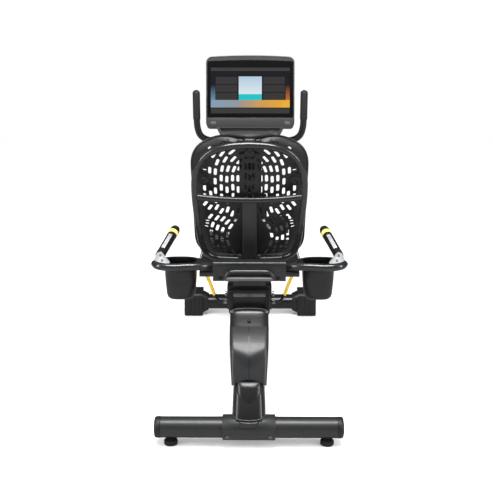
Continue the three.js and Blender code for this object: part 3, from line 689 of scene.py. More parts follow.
def grown(bm, tree, **values):
    """The mesh that a node tree makes from a drawing, as plain data."""
    mesh = bpy.data.meshes.new("drawing")
    bm.to_mesh(mesh)
    bm.free()
    obj = bpy.data.objects.new("drawing", mesh)
    bpy.context.scene.collection.objects.link(obj)
    modifier = obj.modifiers.new("nodes", "NODES")
    modifier.node_group = tree
    fixed_input(modifier, tree, **values)
    graph = bpy.context.evaluated_depsgraph_get()
    result = bpy.data.meshes.new_from_object(obj.evaluated_get(graph), depsgraph=graph)
    bpy.data.objects.remove(obj)
    bpy.data.meshes.remove(mesh)
    return result


def slots_along_rows():
    """Slot outlines set end to end along each row of a flat drawing."""
    name = "Slots along rows"
    if name in bpy.data.node_groups:
        return bpy.data.node_groups[name]
    tree, ins, outs = new_group(
        name,
        [("Geometry", "NodeSocketGeometry", None), ("Slot width", "NodeSocketFloat", 0.0125),
         ("Slot length", "NodeSocketFloat", 0.031), ("Slot pitch", "NodeSocketFloat", 0.039),
         ("Material", "NodeSocketMaterial", None)],
        [("Geometry", "NodeSocketGeometry")], "GeometryNodeTree")
    rows = add(tree, "GeometryNodeMeshToCurve")
    points = add(tree, "GeometryNodeCurveToPoints", mode="LENGTH")
    turn = add(tree, "FunctionNodeAlignRotationToVector", axis="Y", pivot_axis="Z")
    outline = add(tree, "GeometryNodeCurvePrimitiveQuadrilateral")
    corner = add(tree, "GeometryNodeFilletCurve")
    if hasattr(corner, "mode"):
        corner.mode = "POLY"
    elif "Mode" in corner.inputs:
        corner.inputs["Mode"].default_value = "Poly"
    corner.inputs["Count"].default_value = 5
    half = add(tree, "ShaderNodeMath", operation="MULTIPLY")
    half.inputs[1].default_value = 0.499
    area = add(tree, "GeometryNodeFillCurve")
    if hasattr(area, "mode"):
        area.mode = "NGONS"
    elif "Mode" in area.inputs:
        area.inputs["Mode"].default_value = "N-gons"
    place = add(tree, "GeometryNodeInstanceOnPoints")
    real = add(tree, "GeometryNodeRealizeInstances")
    paint = add(tree, "GeometryNodeSetMaterial")
    link = tree.links.new
    link(ins.outputs["Geometry"], rows.inputs[0])
    link(rows.outputs[0], points.inputs["Curve"])
    link(ins.outputs["Slot pitch"], points.inputs["Length"])
    link(points.outputs["Tangent"], turn.inputs["Vector"])
    link(ins.outputs["Slot width"], outline.inputs["Width"])
    link(ins.outputs["Slot length"], outline.inputs["Height"])
    link(ins.outputs["Slot width"], half.inputs[0])
    link(outline.outputs[0], corner.inputs["Curve"])
    link(half.outputs[0], corner.inputs["Radius"])
    link(corner.outputs[0], area.inputs[0])
    link(points.outputs["Points"], place.inputs["Points"])
    link(area.outputs[0], place.inputs["Instance"])
    link(turn.outputs[0], place.inputs["Rotation"])
    link(place.outputs[0], real.inputs[0])
    link(real.outputs[0], paint.inputs["Geometry"])
    link(ins.outputs["Material"], paint.inputs["Material"])
    link(paint.outputs[0], outs.inputs[0])
    return tree


def heads_on_points():
    """A socket-head screw on every point, standing along the point's own direction."""
    name = "Heads on points"
    if name in bpy.data.node_groups:
        return bpy.data.node_groups[name]
    tree, ins, outs = new_group(
        name,
        [("Geometry", "NodeSocketGeometry", None), ("Head radius", "NodeSocketFloat", 0.005),
         ("Head height", "NodeSocketFloat", 0.003), ("Material", "NodeSocketMaterial", None)],
        [("Geometry", "NodeSocketGeometry")], "GeometryNodeTree")
    facing = add(tree, "GeometryNodeInputNamedAttribute", data_type="FLOAT_VECTOR")
    facing.inputs["Name"].default_value = "facing"
    turn = add(tree, "FunctionNodeAlignRotationToVector", axis="Z")
    head = add(tree, "GeometryNodeMeshCylinder", fill_type="NGON")
    head.inputs["Vertices"].default_value = 20
    socket = add(tree, "GeometryNodeMeshCylinder", fill_type="NGON")
    socket.inputs["Vertices"].default_value = 6
    inner = add(tree, "ShaderNodeMath", operation="MULTIPLY")
    inner.inputs[1].default_value = 0.5
    hollow = add(tree, "GeometryNodeMeshBoolean", operation="DIFFERENCE")
    place = add(tree, "GeometryNodeInstanceOnPoints")
    real = add(tree, "GeometryNodeRealizeInstances")
    paint = add(tree, "GeometryNodeSetMaterial")
    link = tree.links.new
    link(ins.outputs["Head radius"], head.inputs["Radius"])
    link(ins.outputs["Head height"], head.inputs["Depth"])
    link(ins.outputs["Head radius"], inner.inputs[0])
    link(inner.outputs[0], socket.inputs["Radius"])
    link(ins.outputs["Head height"], socket.inputs["Depth"])
    link(head.outputs[0], hollow.inputs[0])
    link(socket_shift(tree, socket, ins), hollow.inputs[1])
    link(facing.outputs[0], turn.inputs["Vector"])
    link(ins.outputs["Geometry"], place.inputs["Points"])
    link(hollow.outputs[0], place.inputs["Instance"])
    link(turn.outputs[0], place.inputs["Rotation"])
    link(place.outputs[0], real.inputs[0])
    link(real.outputs[0], paint.inputs["Geometry"])
    link(ins.outputs["Material"], paint.inputs["Material"])
    link(paint.outputs[0], outs.inputs[0])
    return tree


def socket_shift(tree, socket, ins):
    """Raises the socket so that it opens the head from above."""
    share = add(tree, "ShaderNodeMath", operation="MULTIPLY")
    share.inputs[1].default_value = 0.6
    rise = add(tree, "ShaderNodeCombineXYZ")
    move = add(tree, "GeometryNodeTransform")
    tree.links.new(ins.outputs["Head height"], share.inputs[0])
    tree.links.new(share.outputs[0], rise.inputs[2])
    tree.links.new(socket.outputs[0], move.inputs["Geometry"])
    tree.links.new(rise.outputs[0], move.inputs["Translation"])
    return move.outputs[0]


def screws(name, places, body, radius=None, height=2.4, frame_of=FLOOR_FRAME, finish_of=None):
    """Screw heads at (point, facing) pairs, in millimetres."""
    bm = bmesh.new()
    facing = bm.verts.layers.float_vector.new("facing")
    turn = frame_of.to_3x3().normalized()
    for point, direction in places:
        vert = bm.verts.new(frame_of @ Vector(point))
        vert[facing] = turn @ Vector(direction)
    mesh = grown(bm, heads_on_points(), head_radius=radius or sizes().screw_head,
                 head_height=height * MM, material=finish_of or machined_steel())
    return piece_from_mesh(name, mesh, None, body)


# ---------------------------------------------------------------- seat back
BACK_TOP, BACK_SPREAD, BACK_SWEEP, BACK_THICK = 535, 216, 58, 5


def back_half_width(t):
    """Half the width of the back at a share t of its height."""
    t = min(max(t, 0.0), 1.0)
    foot = 1 - min(1, t / 0.13)
    shoulder = max(0, (t - 0.72) / 0.28)
    inset = 26 * (1 - math.sqrt(1 - foot ** 2))
    return ((BACK_SPREAD - inset - 3 * (1 - t))
            * (1 - 0.9995 * shoulder ** 2.7) ** (1 / 2.65))


def back_point(x, z, depth=0.0):
    """A place on the back's rear face, or so far in front of it."""
    t = (z - 6) / (BACK_TOP - 6)
    u = min(abs(x) / max(back_half_width(t), 1), 1)
    return Vector((x, BACK_SWEEP * u ** 3 * (1 - 0.45 * t) + depth, z))


def both_ways(rows):
    return rows + [[(-x, z) for x, z in row] for row in rows]


# Rows of slots on the back, (across, up): the arched rows above the crossbar and the
# waisted rows below it. Each row starts at the middle of its first slot.
ARCH_ROWS = both_ways([
    [(14, 286), (14, 416)],
    [(41, 268), (41, 391), (33, 416), (16, 430), (-4, 433)],
    [(61, 286), (61, 388), (49, 420), (24, 449), (4, 457)],
    [(83, 268), (83.5, 371), (77.5, 409), (58, 447), (27, 473), (24, 474)],
    [(105, 281), (105, 358), (102.6, 393), (91, 438), (68, 471), (64, 475)],
    [(127, 264), (127, 377), (121, 421), (106, 457), (100, 466)],
    [(146, 288), (148, 326)],
    [(147, 392), (146, 408), (139, 441), (130, 458)],
    [(169, 272), (169, 312)],
]) + [[(0, 268), (0, 416)]]
WAIST_ROWS = both_ways([
    [(42, 223), (47, 192), (65, 162), (80, 132), (87, 90), (76, 48), (66, 32)],
    [(65, 208), (76, 181), (96, 151), (107, 113), (104, 63), (97, 40)],
    [(83, 225), (91, 198), (109, 170), (125, 134), (128, 73), (122, 42)],
    [(106, 217), (122, 187), (140, 156), (149, 109), (145, 58), (138, 32)],
    [(124, 232), (137, 206), (150, 185)],
    [(150, 227), (162, 207)],
    [(168, 241), (171, 236)],
])
ODD_SLOTS = both_ways([
    [(146, 484), (140, 490)], [(91, 512), (80, 516)], [(30, 520), (40, 519)],
    [(166, 392), (170, 392)], [(162, 163), (168, 162)], [(167, 135), (172, 135)],
    [(163, 150), (168, 149)],
])
FOOT_HOLES = [(86, 18, 15), (113, 22, 9), (40, 17, 12), (62, 15, 7)]


def slot_outlines(rows, width, span, pitch):
    bm = bmesh.new()
    for row in rows:
        verts = [bm.verts.new(p * MM) for p in smooth_path([(x, z, 0) for x, z in row], 6)]
        for a, b in zip(verts, verts[1:]):
            bm.edges.new((a, b))
    mesh = grown(bm, slots_along_rows(), slot_width=width, slot_length=span,
                 slot_pitch=pitch, material=moulded_black())
    outlines = []
    for face in mesh.polygons:
        outlines.append([mesh.vertices[i].co.xy / MM for i in face.vertices])
    bpy.data.meshes.remove(mesh)
    return outlines


def back_outline(inset=0.0, steps=40):
    side = []
    for i in range(steps + 1):
        t = 0.5 - 0.5 * math.cos(math.pi * i / steps)
        side.append((back_half_width(t) - inset, 6 + inset + t * (BACK_TOP - 6 - 2 * inset)))
    return side + [(-x, z) for x, z in reversed(side)]


def clear_of(outline, others, gap):
    centre = sum(outline, Vector((0, 0))) / len(outline)
    reach = max((p - centre).length for p in outline)
    for other, middle, size in others:
        if (centre - middle).length > reach + size + gap:
            continue
        near = min((p - q).length for p in outline for q in other)
        if near < gap:
            return False
    return True


def perforated_sheet(outline, holes, spacing):
    """Flat triangles inside an outline and outside its holes."""
    verts = [Vector(p) for p in outline]
    faces = [list(range(len(verts)))]
    for hole in holes:
        faces.append(list(range(len(verts), len(verts) + len(hole))))
        verts.extend(Vector(p) for p in hole)
    reach = BACK_SPREAD
    for i in range(int(-reach / spacing), int(reach / spacing) + 1):
        for j in range(int(BACK_TOP / spacing) + 1):
            shift = spacing / 2 if j % 2 else 0
            x, z = i * spacing + shift, j * spacing
            t = (z - 6) / (BACK_TOP - 6)
            if 0.02 < t < 0.98 and abs(x) < back_half_width(t) - spacing * 0.6:
                verts.append(Vector((x, z)))
    made = delaunay_2d_cdt(verts, [], faces, 1, 1e-3)
    points, triangles, owners = made[0], made[2], made[5]
    kept = [tri for tri, owner in zip(triangles, owners) if list(owner) == [0]]
    return points, kept


class BIKE_OT_seat_back(bpy.types.Operator):
    """Perforated shell of the seat's back, seen from behind the bike"""
    bl_idname = "bike.seat_back"
    bl_label = "Seat back shell"

    def execute(self, context):
        wide, span, pitch = sizes().slot_width, sizes().slot_length, sizes().slot_pitch
        found = slot_outlines(ARCH_ROWS + WAIST_ROWS, wide, span, pitch)
        found += slot_outlines(ODD_SLOTS, wide * 0.62, span * 0.5, pitch)
        for x, z, radius in FOOT_HOLES:
            for side in (-1, 1):
                found.append([Vector((side * x + radius * math.cos(a * math.pi / 8),
                                      z + radius * 1.1 * math.sin(a * math.pi / 8)))
                              for a in range(16)])
        holes = []
        sized = []
        for outline in found:
            margin = all(abs(p.x) < back_half_width((p.y - 6) / (BACK_TOP - 6)) - 5
                         and 5 < p.y < BACK_TOP - 5 for p in outline)
            if margin and clear_of(outline, sized, 1.9):
                centre = sum(outline, Vector((0, 0))) / len(outline)
                sized.append((outline, centre, max((p - centre).length for p in outline)))
                holes.append(outline)
        if len(holes) < 60:
            raise RuntimeError("the seat back lost its slots")
        points, triangles = perforated_sheet(back_outline(), holes, 11)
        bm = bmesh.new()
        layers = []
        for depth in (0.0, BACK_THICK):
            verts = [bm.verts.new(back_point(p[0], p[1], depth)) for p in points]
            layers.append(verts)
        for tri in triangles:
            bm.faces.new([layers[0][i] for i in tri])
            bm.faces.new([layers[1][i] for i in reversed(tri)])
        bm.verts.index_update()
        count = len(points)
        rims = [e for e in bm.edges if len(e.link_faces) == 1
                and e.verts[0].index < count]
        for edge in rims:
            a, b = (v.index for v in edge.link_loops[0].edge.verts)
            bm.faces.new((layers[0][a], layers[0][b], layers[1][b], layers[1][a]))
        loose = [v for v in bm.verts if not v.link_faces]
        bmesh.ops.delete(bm, geom=loose, context="VERTS")
        bmesh.ops.recalc_face_normals(bm, faces=bm.faces)
        edges = [e for e in bm.edges if len(e.link_faces) == 2
                 and e.calc_face_angle(0) > math.radians(50)]
        bmesh.ops.bevel(bm, geom=edges, offset=0.9, segments=2, profile=0.5,
                        affect="EDGES", clamp_overlap=True)
        piece("seat_back_shell_moulded", bm, moulded_black(), "seat", ["seat_back_shell"],
              BACK_FRAME, 50)
        self.edge_roll()
        self.bosses()
        return {"FINISHED"}

    def edge_roll(self):
        """Rounded lip all round the shell's edge."""
        bm = bmesh.new()
        path = [back_point(x, z, BACK_THICK / 2) for x, z in back_outline(1.0, 48)]
        path = [path[i] for i in range(len(path)) if (path[i] - path[i - 1]).length > 0.5]
        sweep(bm, path, [(4.2 * math.cos(a * math.pi / 5), 5.0 * math.sin(a * math.pi / 5))
                         for a in range(10)], closed=True)
        piece("seat_back_lip", bm, satin_black(), "seat", (), BACK_FRAME)

    def bosses(self):
        """Screw bosses that hold the shell to its frame, with short ribs beside them."""
        spots = [(0, 472), (-170, 343), (170, 343)]
        bm = bmesh.new()
        for x, z in spots:
            base = back_point(x, z)
            revolve(bm, [(0, base.y + 2), (18, base.y + 2), (17, base.y - 6), (10, base.y - 9),
                         (0, base.y - 9)], (x, 0, z), "Y", 28)
        for x in (-1, 1):
            for z in (374, 386, 398):
                y = back_point(x * 172, z).y
                block(bm, x * 172 - 17, x * 172 + 17, y - 3, y + 2, z - 2.4, z + 2.4)
        soften(bm, 1.0)
        piece("seat_back_bosses", bm, moulded_black(), "seat", (), BACK_FRAME)
        screws("seat_back_screws",
               [((x, back_point(x, z).y - 10, z), (0, -1, 0)) for x, z in spots],
               "seat", 0.006, 3.0, BACK_FRAME, satin_black())


class BIKE_OT_back_frame(bpy.types.Operator):
    """Round rim, bowed crossbar and flat post behind the seat back"""
    bl_idname = "bike.back_frame"
    bl_label = "Seat back frame"

    def rim_depth(self, z):
        """The rim stands well behind the shell so that its whole tube shows."""
        return -17 - 4 * max(0.0, (z - 300) / 216)

    def execute(self, context):
        bm = bmesh.new()
        half = [(0, 8), (90, 9), (138, 16), (170, 42), (186, 90), (194, 160), (200, 240),
                (203, 310), (201, 370), (190, 424), (164, 466), (122, 495), (66, 511),
                (0, 516)]
        right = smooth_path([(x, self.rim_depth(z), z) for x, z in half], 6)
        path = right + [Vector((-p.x, p.y, p.z)) for p in reversed(right[1:-1])]
        sweep(bm, path, 13.0, closed=True)
        piece("seat_back_rim", bm, gloss_paint(), "seat", ["seat_back_frame"],
              BACK_FRAME)
        bm = bmesh.new()
        bow = []
        for i in range(33):
            u = -1 + i / 16
            bow.append(Vector((u * 196, -20 - 3 * (1 - u * u), 297 - 12 * (1 - u * u))))
        section = [(12 * c, 12.5 * d) for c, d in circle(24)]
        sweep(bm, bow, section)
        piece("seat_back_crossbar", bm, gloss_paint(), "seat", (), BACK_FRAME)
        bm = bmesh.new()
        prism(bm, rounded(-28, 28, -33, -10, 5), "Z", -20, 278)
        piece("seat_back_post", bm, powder_coat(), "seat", (), BACK_FRAME)
        bm = bmesh.new()
        for side in (-1, 1):
            loft(bm, [[(side * (30 + 14 * a), -28 + 9 * b, z) for a, b in
                       ((0, -1), (1, -1), (1, 1), (0, 1))] for z in (-18, 40)])
        soften(bm, 3, 3)
        piece("seat_back_post_gussets", bm, powder_coat(), "seat", (),
              BACK_FRAME)
        return {"FINISHED"}


def gloss_paint():
    return finish("gloss_paint", finishes().frame_paint, 0.22, grain=1200, bump=0.015,
                  uneven=0.04, coat=0.5)


# ---------------------------------------------------------------- cushion
CUSHION = {"half": 203, "rear": 475, "front": 845, "corner": 55}


def cushion_level(y, top):
    """Height of the cushion's upper or lower face at a place along it."""
    line = [(475, 556), (500, 570), (700, 562), (827, 552), (845, 525)] if top \
        else [(475, 519), (845, 490)]
    for (y0, z0), (y1, z1) in zip(line, line[1:]):
        if y <= y1:
            return z0 + (z1 - z0) * (y - y0) / (y1 - y0)
    return line[-1][1]


class BIKE_OT_cushion(bpy.types.Operator):
    """Stuffed cushion, filled by a cloth simulation, with a welt and stitches"""
    bl_idname = "bike.cushion"
    bl_label = "Seat cushion"

    def execute(self, context):
        body = self.stuffed()
        self.welt()
        return {"FINISHED"}

    def stuffed(self):
        half, rear, front = CUSHION["half"] - 3, CUSHION["rear"] + 4, CUSHION["front"] - 4
        plan = rounded(-half, half, rear, front, CUSHION["corner"] - 3, 10)
        bm = bmesh.new()
        levels = [(0.0, 10), (0.12, 1.5), (0.5, 0), (0.85, 2.5), (1.0, 14)]
        rings = []
        for share, inset in levels:
            ring = []
            for x, y in plan:
                middle = Vector((0, (rear + front) / 2))
                point = Vector((x, y))
                inward = (middle - point).normalized() * inset
                low, high = cushion_level(y, False), cushion_level(y, True)
                hollow = 5 * (1 - min(1, abs(x) / 90)) * (share == 1.0)
                ring.append((x + inward.x, y + inward.y,
                             low + (high - low) * share - hollow - 2))
            rings.append(ring)
        loft(bm, rings)
        bmesh.ops.transform(bm, matrix=FLOOR_FRAME, verts=bm.verts)
        bmesh.ops.recalc_face_normals(bm, faces=bm.faces)
        mesh = bpy.data.meshes.new("seat_cushion_stuffed")
        bm.to_mesh(mesh)
        bm.free()
        obj = bpy.data.objects.new("seat_cushion_stuffed", mesh)
        context_scene = bpy.context.scene
        context_scene.collection.objects.link(obj)
        remesh = obj.modifiers.new("remesh", "REMESH")
        remesh.mode = "VOXEL"
        remesh.voxel_size = 0.0055
        self.apply(obj)
        before = [v.co.copy() for v in obj.data.vertices]
        cloth = obj.modifiers.new("cloth", "CLOTH")
        cloth.settings.use_pressure = True
        cloth.settings.uniform_pressure_force = 4.0
        cloth.settings.effector_weights.gravity = 0.0
        cloth.settings.quality = 5
        cloth.settings.tension_stiffness = 25
        cloth.settings.compression_stiffness = 25
        cloth.settings.bending_stiffness = 2.0
        for number in range(1, 17):
            context_scene.frame_set(number)
        self.apply(obj)
        context_scene.frame_set(1)
        top = cushion_level(700, True) * MM
        for vert, start in zip(obj.data.vertices, before):
            move = vert.co - start
            if move.length > 0.010:
                move = move.normalized() * 0.010
            flat = 0.25 if vert.co.z < FLOOR_FRAME.translation.z + top - 0.045 else 1.0
            vert.co = start + Vector((move.x * 0.5, move.y * 0.5, move.z * flat))
        smooth = obj.modifiers.new("smooth", "SUBSURF")
        smooth.levels = smooth.render_levels = 1
        self.apply(obj)
        obj.data.shade_smooth()
        obj.data.materials.append(seat_vinyl())
        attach(obj, "seat")
        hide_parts("seat_cushion")
        return obj

    def apply(self, obj):
        graph = bpy.context.evaluated_depsgraph_get()
        mesh = bpy.data.meshes.new_from_object(obj.evaluated_get(graph), depsgraph=graph)
        old = obj.data
        obj.modifiers.clear()
        obj.data = mesh
        bpy.data.meshes.remove(old)

    def welt(self):
        half, rear, front = CUSHION["half"], CUSHION["rear"] + 1, CUSHION["front"] - 1
        outline = rounded(-half + 1, half - 1, rear, front, CUSHION["corner"], 10)
        path = []
        for x, y in outline:
            low, high = cushion_level(y, False), cushion_level(y, True)
            path.append(Vector((x, y, low + (high - low) * 0.62)))
        bm = bmesh.new()
        sweep(bm, path, [(2.2 * math.cos(a * math.pi / 4), 2.2 * math.sin(a * math.pi / 4))
                         for a in range(8)], closed=True)
        piece("seat_cushion_welt", bm, seat_vinyl(), "seat", ())
        bm = bmesh.new()
        verts = [bm.verts.new(FLOOR_FRAME @ (p + Vector((0, 0, 6)))) for p in path]
        for i, vert in enumerate(verts):
            bm.edges.new((vert, verts[(i + 1) % len(verts)]))
        mesh = grown(bm, stitches_on_path(), stitch_length=0.005, stitch_pitch=0.0078,
                     thread=0.0007, material=band_thread())
        piece_from_mesh("seat_cushion_stitches", mesh, None, "seat", ())


def stitches_on_path():
    """Short threads laid end to end along a path."""
    name = "Stitches on path"
    if name in bpy.data.node_groups:
        return bpy.data.node_groups[name]
    tree, ins, outs = new_group(
        name,
        [("Geometry", "NodeSocketGeometry", None), ("Stitch length", "NodeSocketFloat", 0.005),
         ("Stitch pitch", "NodeSocketFloat", 0.008), ("Thread", "NodeSocketFloat", 0.0007),
         ("Material", "NodeSocketMaterial", None)],
        [("Geometry", "NodeSocketGeometry")], "GeometryNodeTree")
    rows = add(tree, "GeometryNodeMeshToCurve")
    points = add(tree, "GeometryNodeCurveToPoints", mode="LENGTH")
    turn = add(tree, "FunctionNodeAlignRotationToVector", axis="Z")
    thread = add(tree, "GeometryNodeMeshUVSphere")
    thread.inputs["Segments"].default_value = 6
    thread.inputs["Rings"].default_value = 5
    stretch = add(tree, "ShaderNodeCombineXYZ")
    half = add(tree, "ShaderNodeMath", operation="MULTIPLY")
    half.inputs[1].default_value = 0.5
    thread.inputs["Radius"].default_value = 1.0
    place = add(tree, "GeometryNodeInstanceOnPoints")
    real = add(tree, "GeometryNodeRealizeInstances")
    paint = add(tree, "GeometryNodeSetMaterial")
    link = tree.links.new
    link(ins.outputs["Geometry"], rows.inputs[0])
    link(rows.outputs[0], points.inputs["Curve"])
    link(ins.outputs["Stitch pitch"], points.inputs["Length"])
    link(points.outputs["Tangent"], turn.inputs["Vector"])
    link(ins.outputs["Stitch length"], half.inputs[0])
    link(ins.outputs["Thread"], stretch.inputs[0])
    link(ins.outputs["Thread"], stretch.inputs[1])
    link(half.outputs[0], stretch.inputs[2])
    link(points.outputs["Points"], place.inputs["Points"])
    link(thread.outputs[0], place.inputs["Instance"])
    link(turn.outputs[0], place.inputs["Rotation"])
    link(stretch.outputs[0], place.inputs["Scale"])
    link(place.outputs[0], real.inputs[0])
    link(real.outputs[0], paint.inputs["Geometry"])
    link(ins.outputs["Material"], paint.inputs["Material"])
    link(paint.outputs[0], outs.inputs[0])
    return tree


def band_thread():
    return finish("thread", (0.06, 0.06, 0.062), 0.7, grain=3000, bump=0.3)


def seat_vinyl():
    return finish("seat_vinyl", finishes().seat_vinyl, 0.5, grain=1100, bump=0.6, uneven=0.08)


# ---------------------------------------------------------------- arms
GRIP_START, GRIP_TIP = Vector((341, 322, 614)), Vector((295, 524, 675))


def mirrored(points, side):
    return [Vector((p[0] * side, p[1], p[2])) for p in points]


def band_round(bm, start, end, radius, low, high, bulge=0.0, sides=32):
    """A sleeve round a straight rod, between two distances along it."""
    axis = (end - start).normalized()
    across = axis.cross(Vector((0, 0, 1))).normalized()
    up = across.cross(axis)
    rings = []
    for share, r in ((0, radius * 0.9), (0.04, radius), (0.5, radius + bulge), (0.96, radius),
                     (1, radius * 0.9)):
        centre = start + axis * (low + (high - low) * share)
        rings.append([centre + across * r * c + up * r * d for c, d in circle(sides)])
    loft(bm, rings)


class BIKE_OT_side_arms(bpy.types.Operator):
    """Side tubes, corner castings, grips with their bands and contact strips"""
    bl_idname = "bike.side_arms"
    bl_label = "Side arms"

    def execute(self, context):
        for name, side in SIDES.items():
            bm = bmesh.new()
            path = smooth_path([(118, 312, 577), (150, 299, 581), (190, 279, 585),
                                (230, 267, 588), (280, 261, 587), (324, 265, 588),
                                (347, 276, 590), (357, 293, 592)], 8)
            sweep(bm, mirrored(path, side), 14.6, round_ends=12)
            piece(f"side_tube_{name}", bm, gloss_paint(), "seat", [f"side_arm_{name}"])
            self.casting(name, side)
            self.grip(name, side)
        return {"FINISHED"}

    def casting(self, name, side):
        """Light metal corner between the tube and the foot of the grip."""
        axis = (GRIP_TIP - GRIP_START).normalized()
        across = axis.cross(Vector((0, 0, 1))).normalized()
        up = across.cross(axis)
        top_centre = GRIP_START + axis * 4
        base_centre = Vector((330, 286, 598))
        rings = []
        for i in range(9):
            share = i / 8
            ease = share * share * (3 - 2 * share)
            centre = base_centre.lerp(top_centre, share) + Vector((0, 0, 7 * ease * (1 - ease)))
            ring = []
            for c, d in circle(32):
                low = Vector((31 * c, -21 * d, 0))
                high = across * 17.6 * c + up * 17.6 * d
                point = centre + low.lerp(high, ease)
                ring.append((point.x * side, point.y, point.z))
            rings.append(ring)
        bm = bmesh.new()
        loft(bm, rings)
        soften(bm, 1.2)
        piece(f"side_casting_{name}", bm, cast_silver(), "seat", ())
        screws(f"side_casting_screws_{name}",
               [((side * 328, 279, 610), (-side * 0.2, -0.6, 0.78)),
                ((side * 336, 298, 626), (-side * 0.2, -0.6, 0.78))], "seat", 0.0046, 2.0,
               finish_of=satin_grey())

    def grip(self, name, side):
        start, end = mirrored([GRIP_START, GRIP_TIP], side)
        length = (end - start).length
        axis = (end - start).normalized()
        across = axis.cross(Vector((0, 0, 1))).normalized()
        up = across.cross(axis)
        # share of the grip's length, radius
        spans = [(0, 16.5), (0.015, 18.6), (0.08, 19.0), (0.1, 18.2), (0.5, 18.4), (0.88, 19.6),
                 (0.93, 18.8), (0.965, 16.4), (0.985, 12.6), (1.0, 6.0)]
        rings = []
        for share, radius in spans:
            centre = start + axis * length * share
            rings.append([centre + across * radius * c + up * radius * d
                          for c, d in circle(36)])
        bm = bmesh.new()
        loft(bm, rings)
        piece(f"side_grip_moulded_{name}", bm, satin_black(), "seat", [f"side_grip_{name}"],
              smooth=55)
        bm = bmesh.new()
        band_round(bm, start, end, 19.9, length * 0.72, length * 0.82, 0.2)
        piece(f"side_grip_band_{name}", bm, band_yellow(), "seat", ())
        self.strips(name, side, start, axis, length)

    def strips(self, name, side, start, axis, length):
        """Two long contact plates on the face that the palm covers."""
        facing = Vector((-side * 0.05, -0.8, 0.6))
        facing = (facing - axis * facing.dot(axis)).normalized()
        beside = axis.cross(facing)
        bm = bmesh.new()
        for middle in (-0.32, -0.06, 0.20):
            rings = []
            for share in (0.16, 0.17, 0.63, 0.64):
                centre = start + axis * length * share
                rise = 18.2 if share in (0.16, 0.64) else 19.6
                ring = []
                for turn, radius in ((-0.075, rise), (0, rise), (0.075, rise), (0.075, 17),
                                     (-0.075, 17)):
                    a = middle + turn
                    ring.append(centre + facing * radius * math.cos(a)
                                + beside * radius * math.sin(a))
                rings.append(ring)
            loft(bm, rings)
        piece(f"side_grip_contacts_{name}", bm, bright_contact(), "seat", ())


def bright_contact():
    return finish("bright_contact", (0.62, 0.63, 0.64), 0.34, metallic=0.15, grain=2500,
                  bump=0.05)


# ---------------------------------------------------------------- cups
CUP_OUTSET = 3


class BIKE_OT_cup_holders(bpy.types.Operator):
    """Tapered cup wells that flare into a smooth tray on each side"""
    bl_idname = "bike.cup_holders"
    bl_label = "Cup holders"

    def execute(self, context):
        # centre x, centre y, half width, half depth, height, squareness
        levels = [(260, 341, 30, 34, 446, 3), (260, 341, 42, 44, 448, 3.1),
                  (260, 341, 49, 51, 455, 3.2), (260, 341, 52, 54.5, 466, 3.3),
                  (260, 341, 56, 56.5, 520, 3.4), (260, 341, 58.5, 57.5, 572, 3.4),
                  (262, 336, 64, 60, 579, 3.1), (266, 328, 80, 62, 584, 2.6),
                  (266, 327, 84, 62, 589, 2.5), (266, 327, 82, 60, 594, 2.5),
                  (265, 328, 74, 54, 596, 2.5), (263, 330, 61, 45, 594, 2.5),
                  (261, 333, 56, 46, 586, 2.7), (260, 338, 54, 50, 565, 3.2),
                  (260, 341, 50, 51, 470, 3.2), (260, 341, 44, 45, 457, 3.2),
                  (260, 341, 10, 10, 456, 2)]
        for name, side in SIDES.items():
            rings = []
            for cx, cy, half, deep, z, square in levels:
                ring = []
                for c, d in circle(56):
                    u, v = squared(c, 2 / square), squared(d, 2 / square)
                    ring.append((side * (cx + CUP_OUTSET + (half + CUP_OUTSET) * u),
                                 cy + deep * v, z))
                rings.append(ring)
            bm = bmesh.new()
            loft(bm, rings)
            piece(f"cup_well_{name}", bm, satin_black(), "seat", [f"cup_holder_{name}"],
                  smooth=60)
        return {"FINISHED"}


# ---------------------------------------------------------------- levers
class BIKE_OT_levers(bpy.types.Operator):
    """Bent yellow levers, their collars and springs, and the pins that they draw"""
    bl_idname = "bike.levers"
    bl_label = "Seat levers"

    def execute(self, context):
        for name, side in SIDES.items():
            bm = bmesh.new()
            path = smooth_path([(134, 400, 429), (141, 400, 440), (146, 400, 456),
                                (158, 400, 490), (172, 400, 524)], 6)
            sweep(bm, mirrored(path, side), 6.6, round_ends=6.0)
            piece(f"lever_sleeve_{name}", bm, lever_yellow(), f"{name}_lever",
                  [f"adjust_lever_{name}"])
            bm = bmesh.new()
            path = smooth_path([(86.6, 400, 405), (108, 400, 405), (125, 400, 413),
                                (134.5, 400, 429)], 6)
            sweep(bm, mirrored(path, side), 5.0)
            piece(f"lever_rod_{name}", bm, satin_black(), f"{name}_lever", ())
            bm = bmesh.new()
            start, end = mirrored([(132, 400, 424), (137.5, 400, 434)], side)
            band_round(bm, start, end, 8.6, 0, (end - start).length, 0.4, 24)
            piece(f"lever_collar_{name}", bm, satin_black(), f"{name}_lever", ())
            self.spring(name, side)
            pin = bmesh.new()
            revolve(pin, [(0, side * 67), (5, side * 67), (5, side * 90), (9, side * 90.6),
                          (10, side * 92), (10, side * 97), (9, side * 98), (0, side * 98)],
                    (0, 140, -40), "X", 28)
            piece(f"lock_pin_turned_{name}", pin, machined_steel(), f"{name}_pin",
                  [f"lock_pin_{name}"], RAIL_FRAME)
        return {"FINISHED"}

    def spring(self, name, side):
        bm = bmesh.new()
        coil = []
        for i in range(97):
            turn = 2 * math.pi * i / 16
            coil.append(Vector((side * (89 + 13 * i / 96), 400 + 7.6 * math.cos(turn),
                                405 + 7.6 * math.sin(turn))))
        sweep(bm, coil, [(0.9 * math.cos(a * math.pi / 3), 0.9 * math.sin(a * math.pi / 3))
                         for a in range(6)])
        piece(f"lever_spring_{name}", bm, machined_steel(), f"{name}_lever", ())


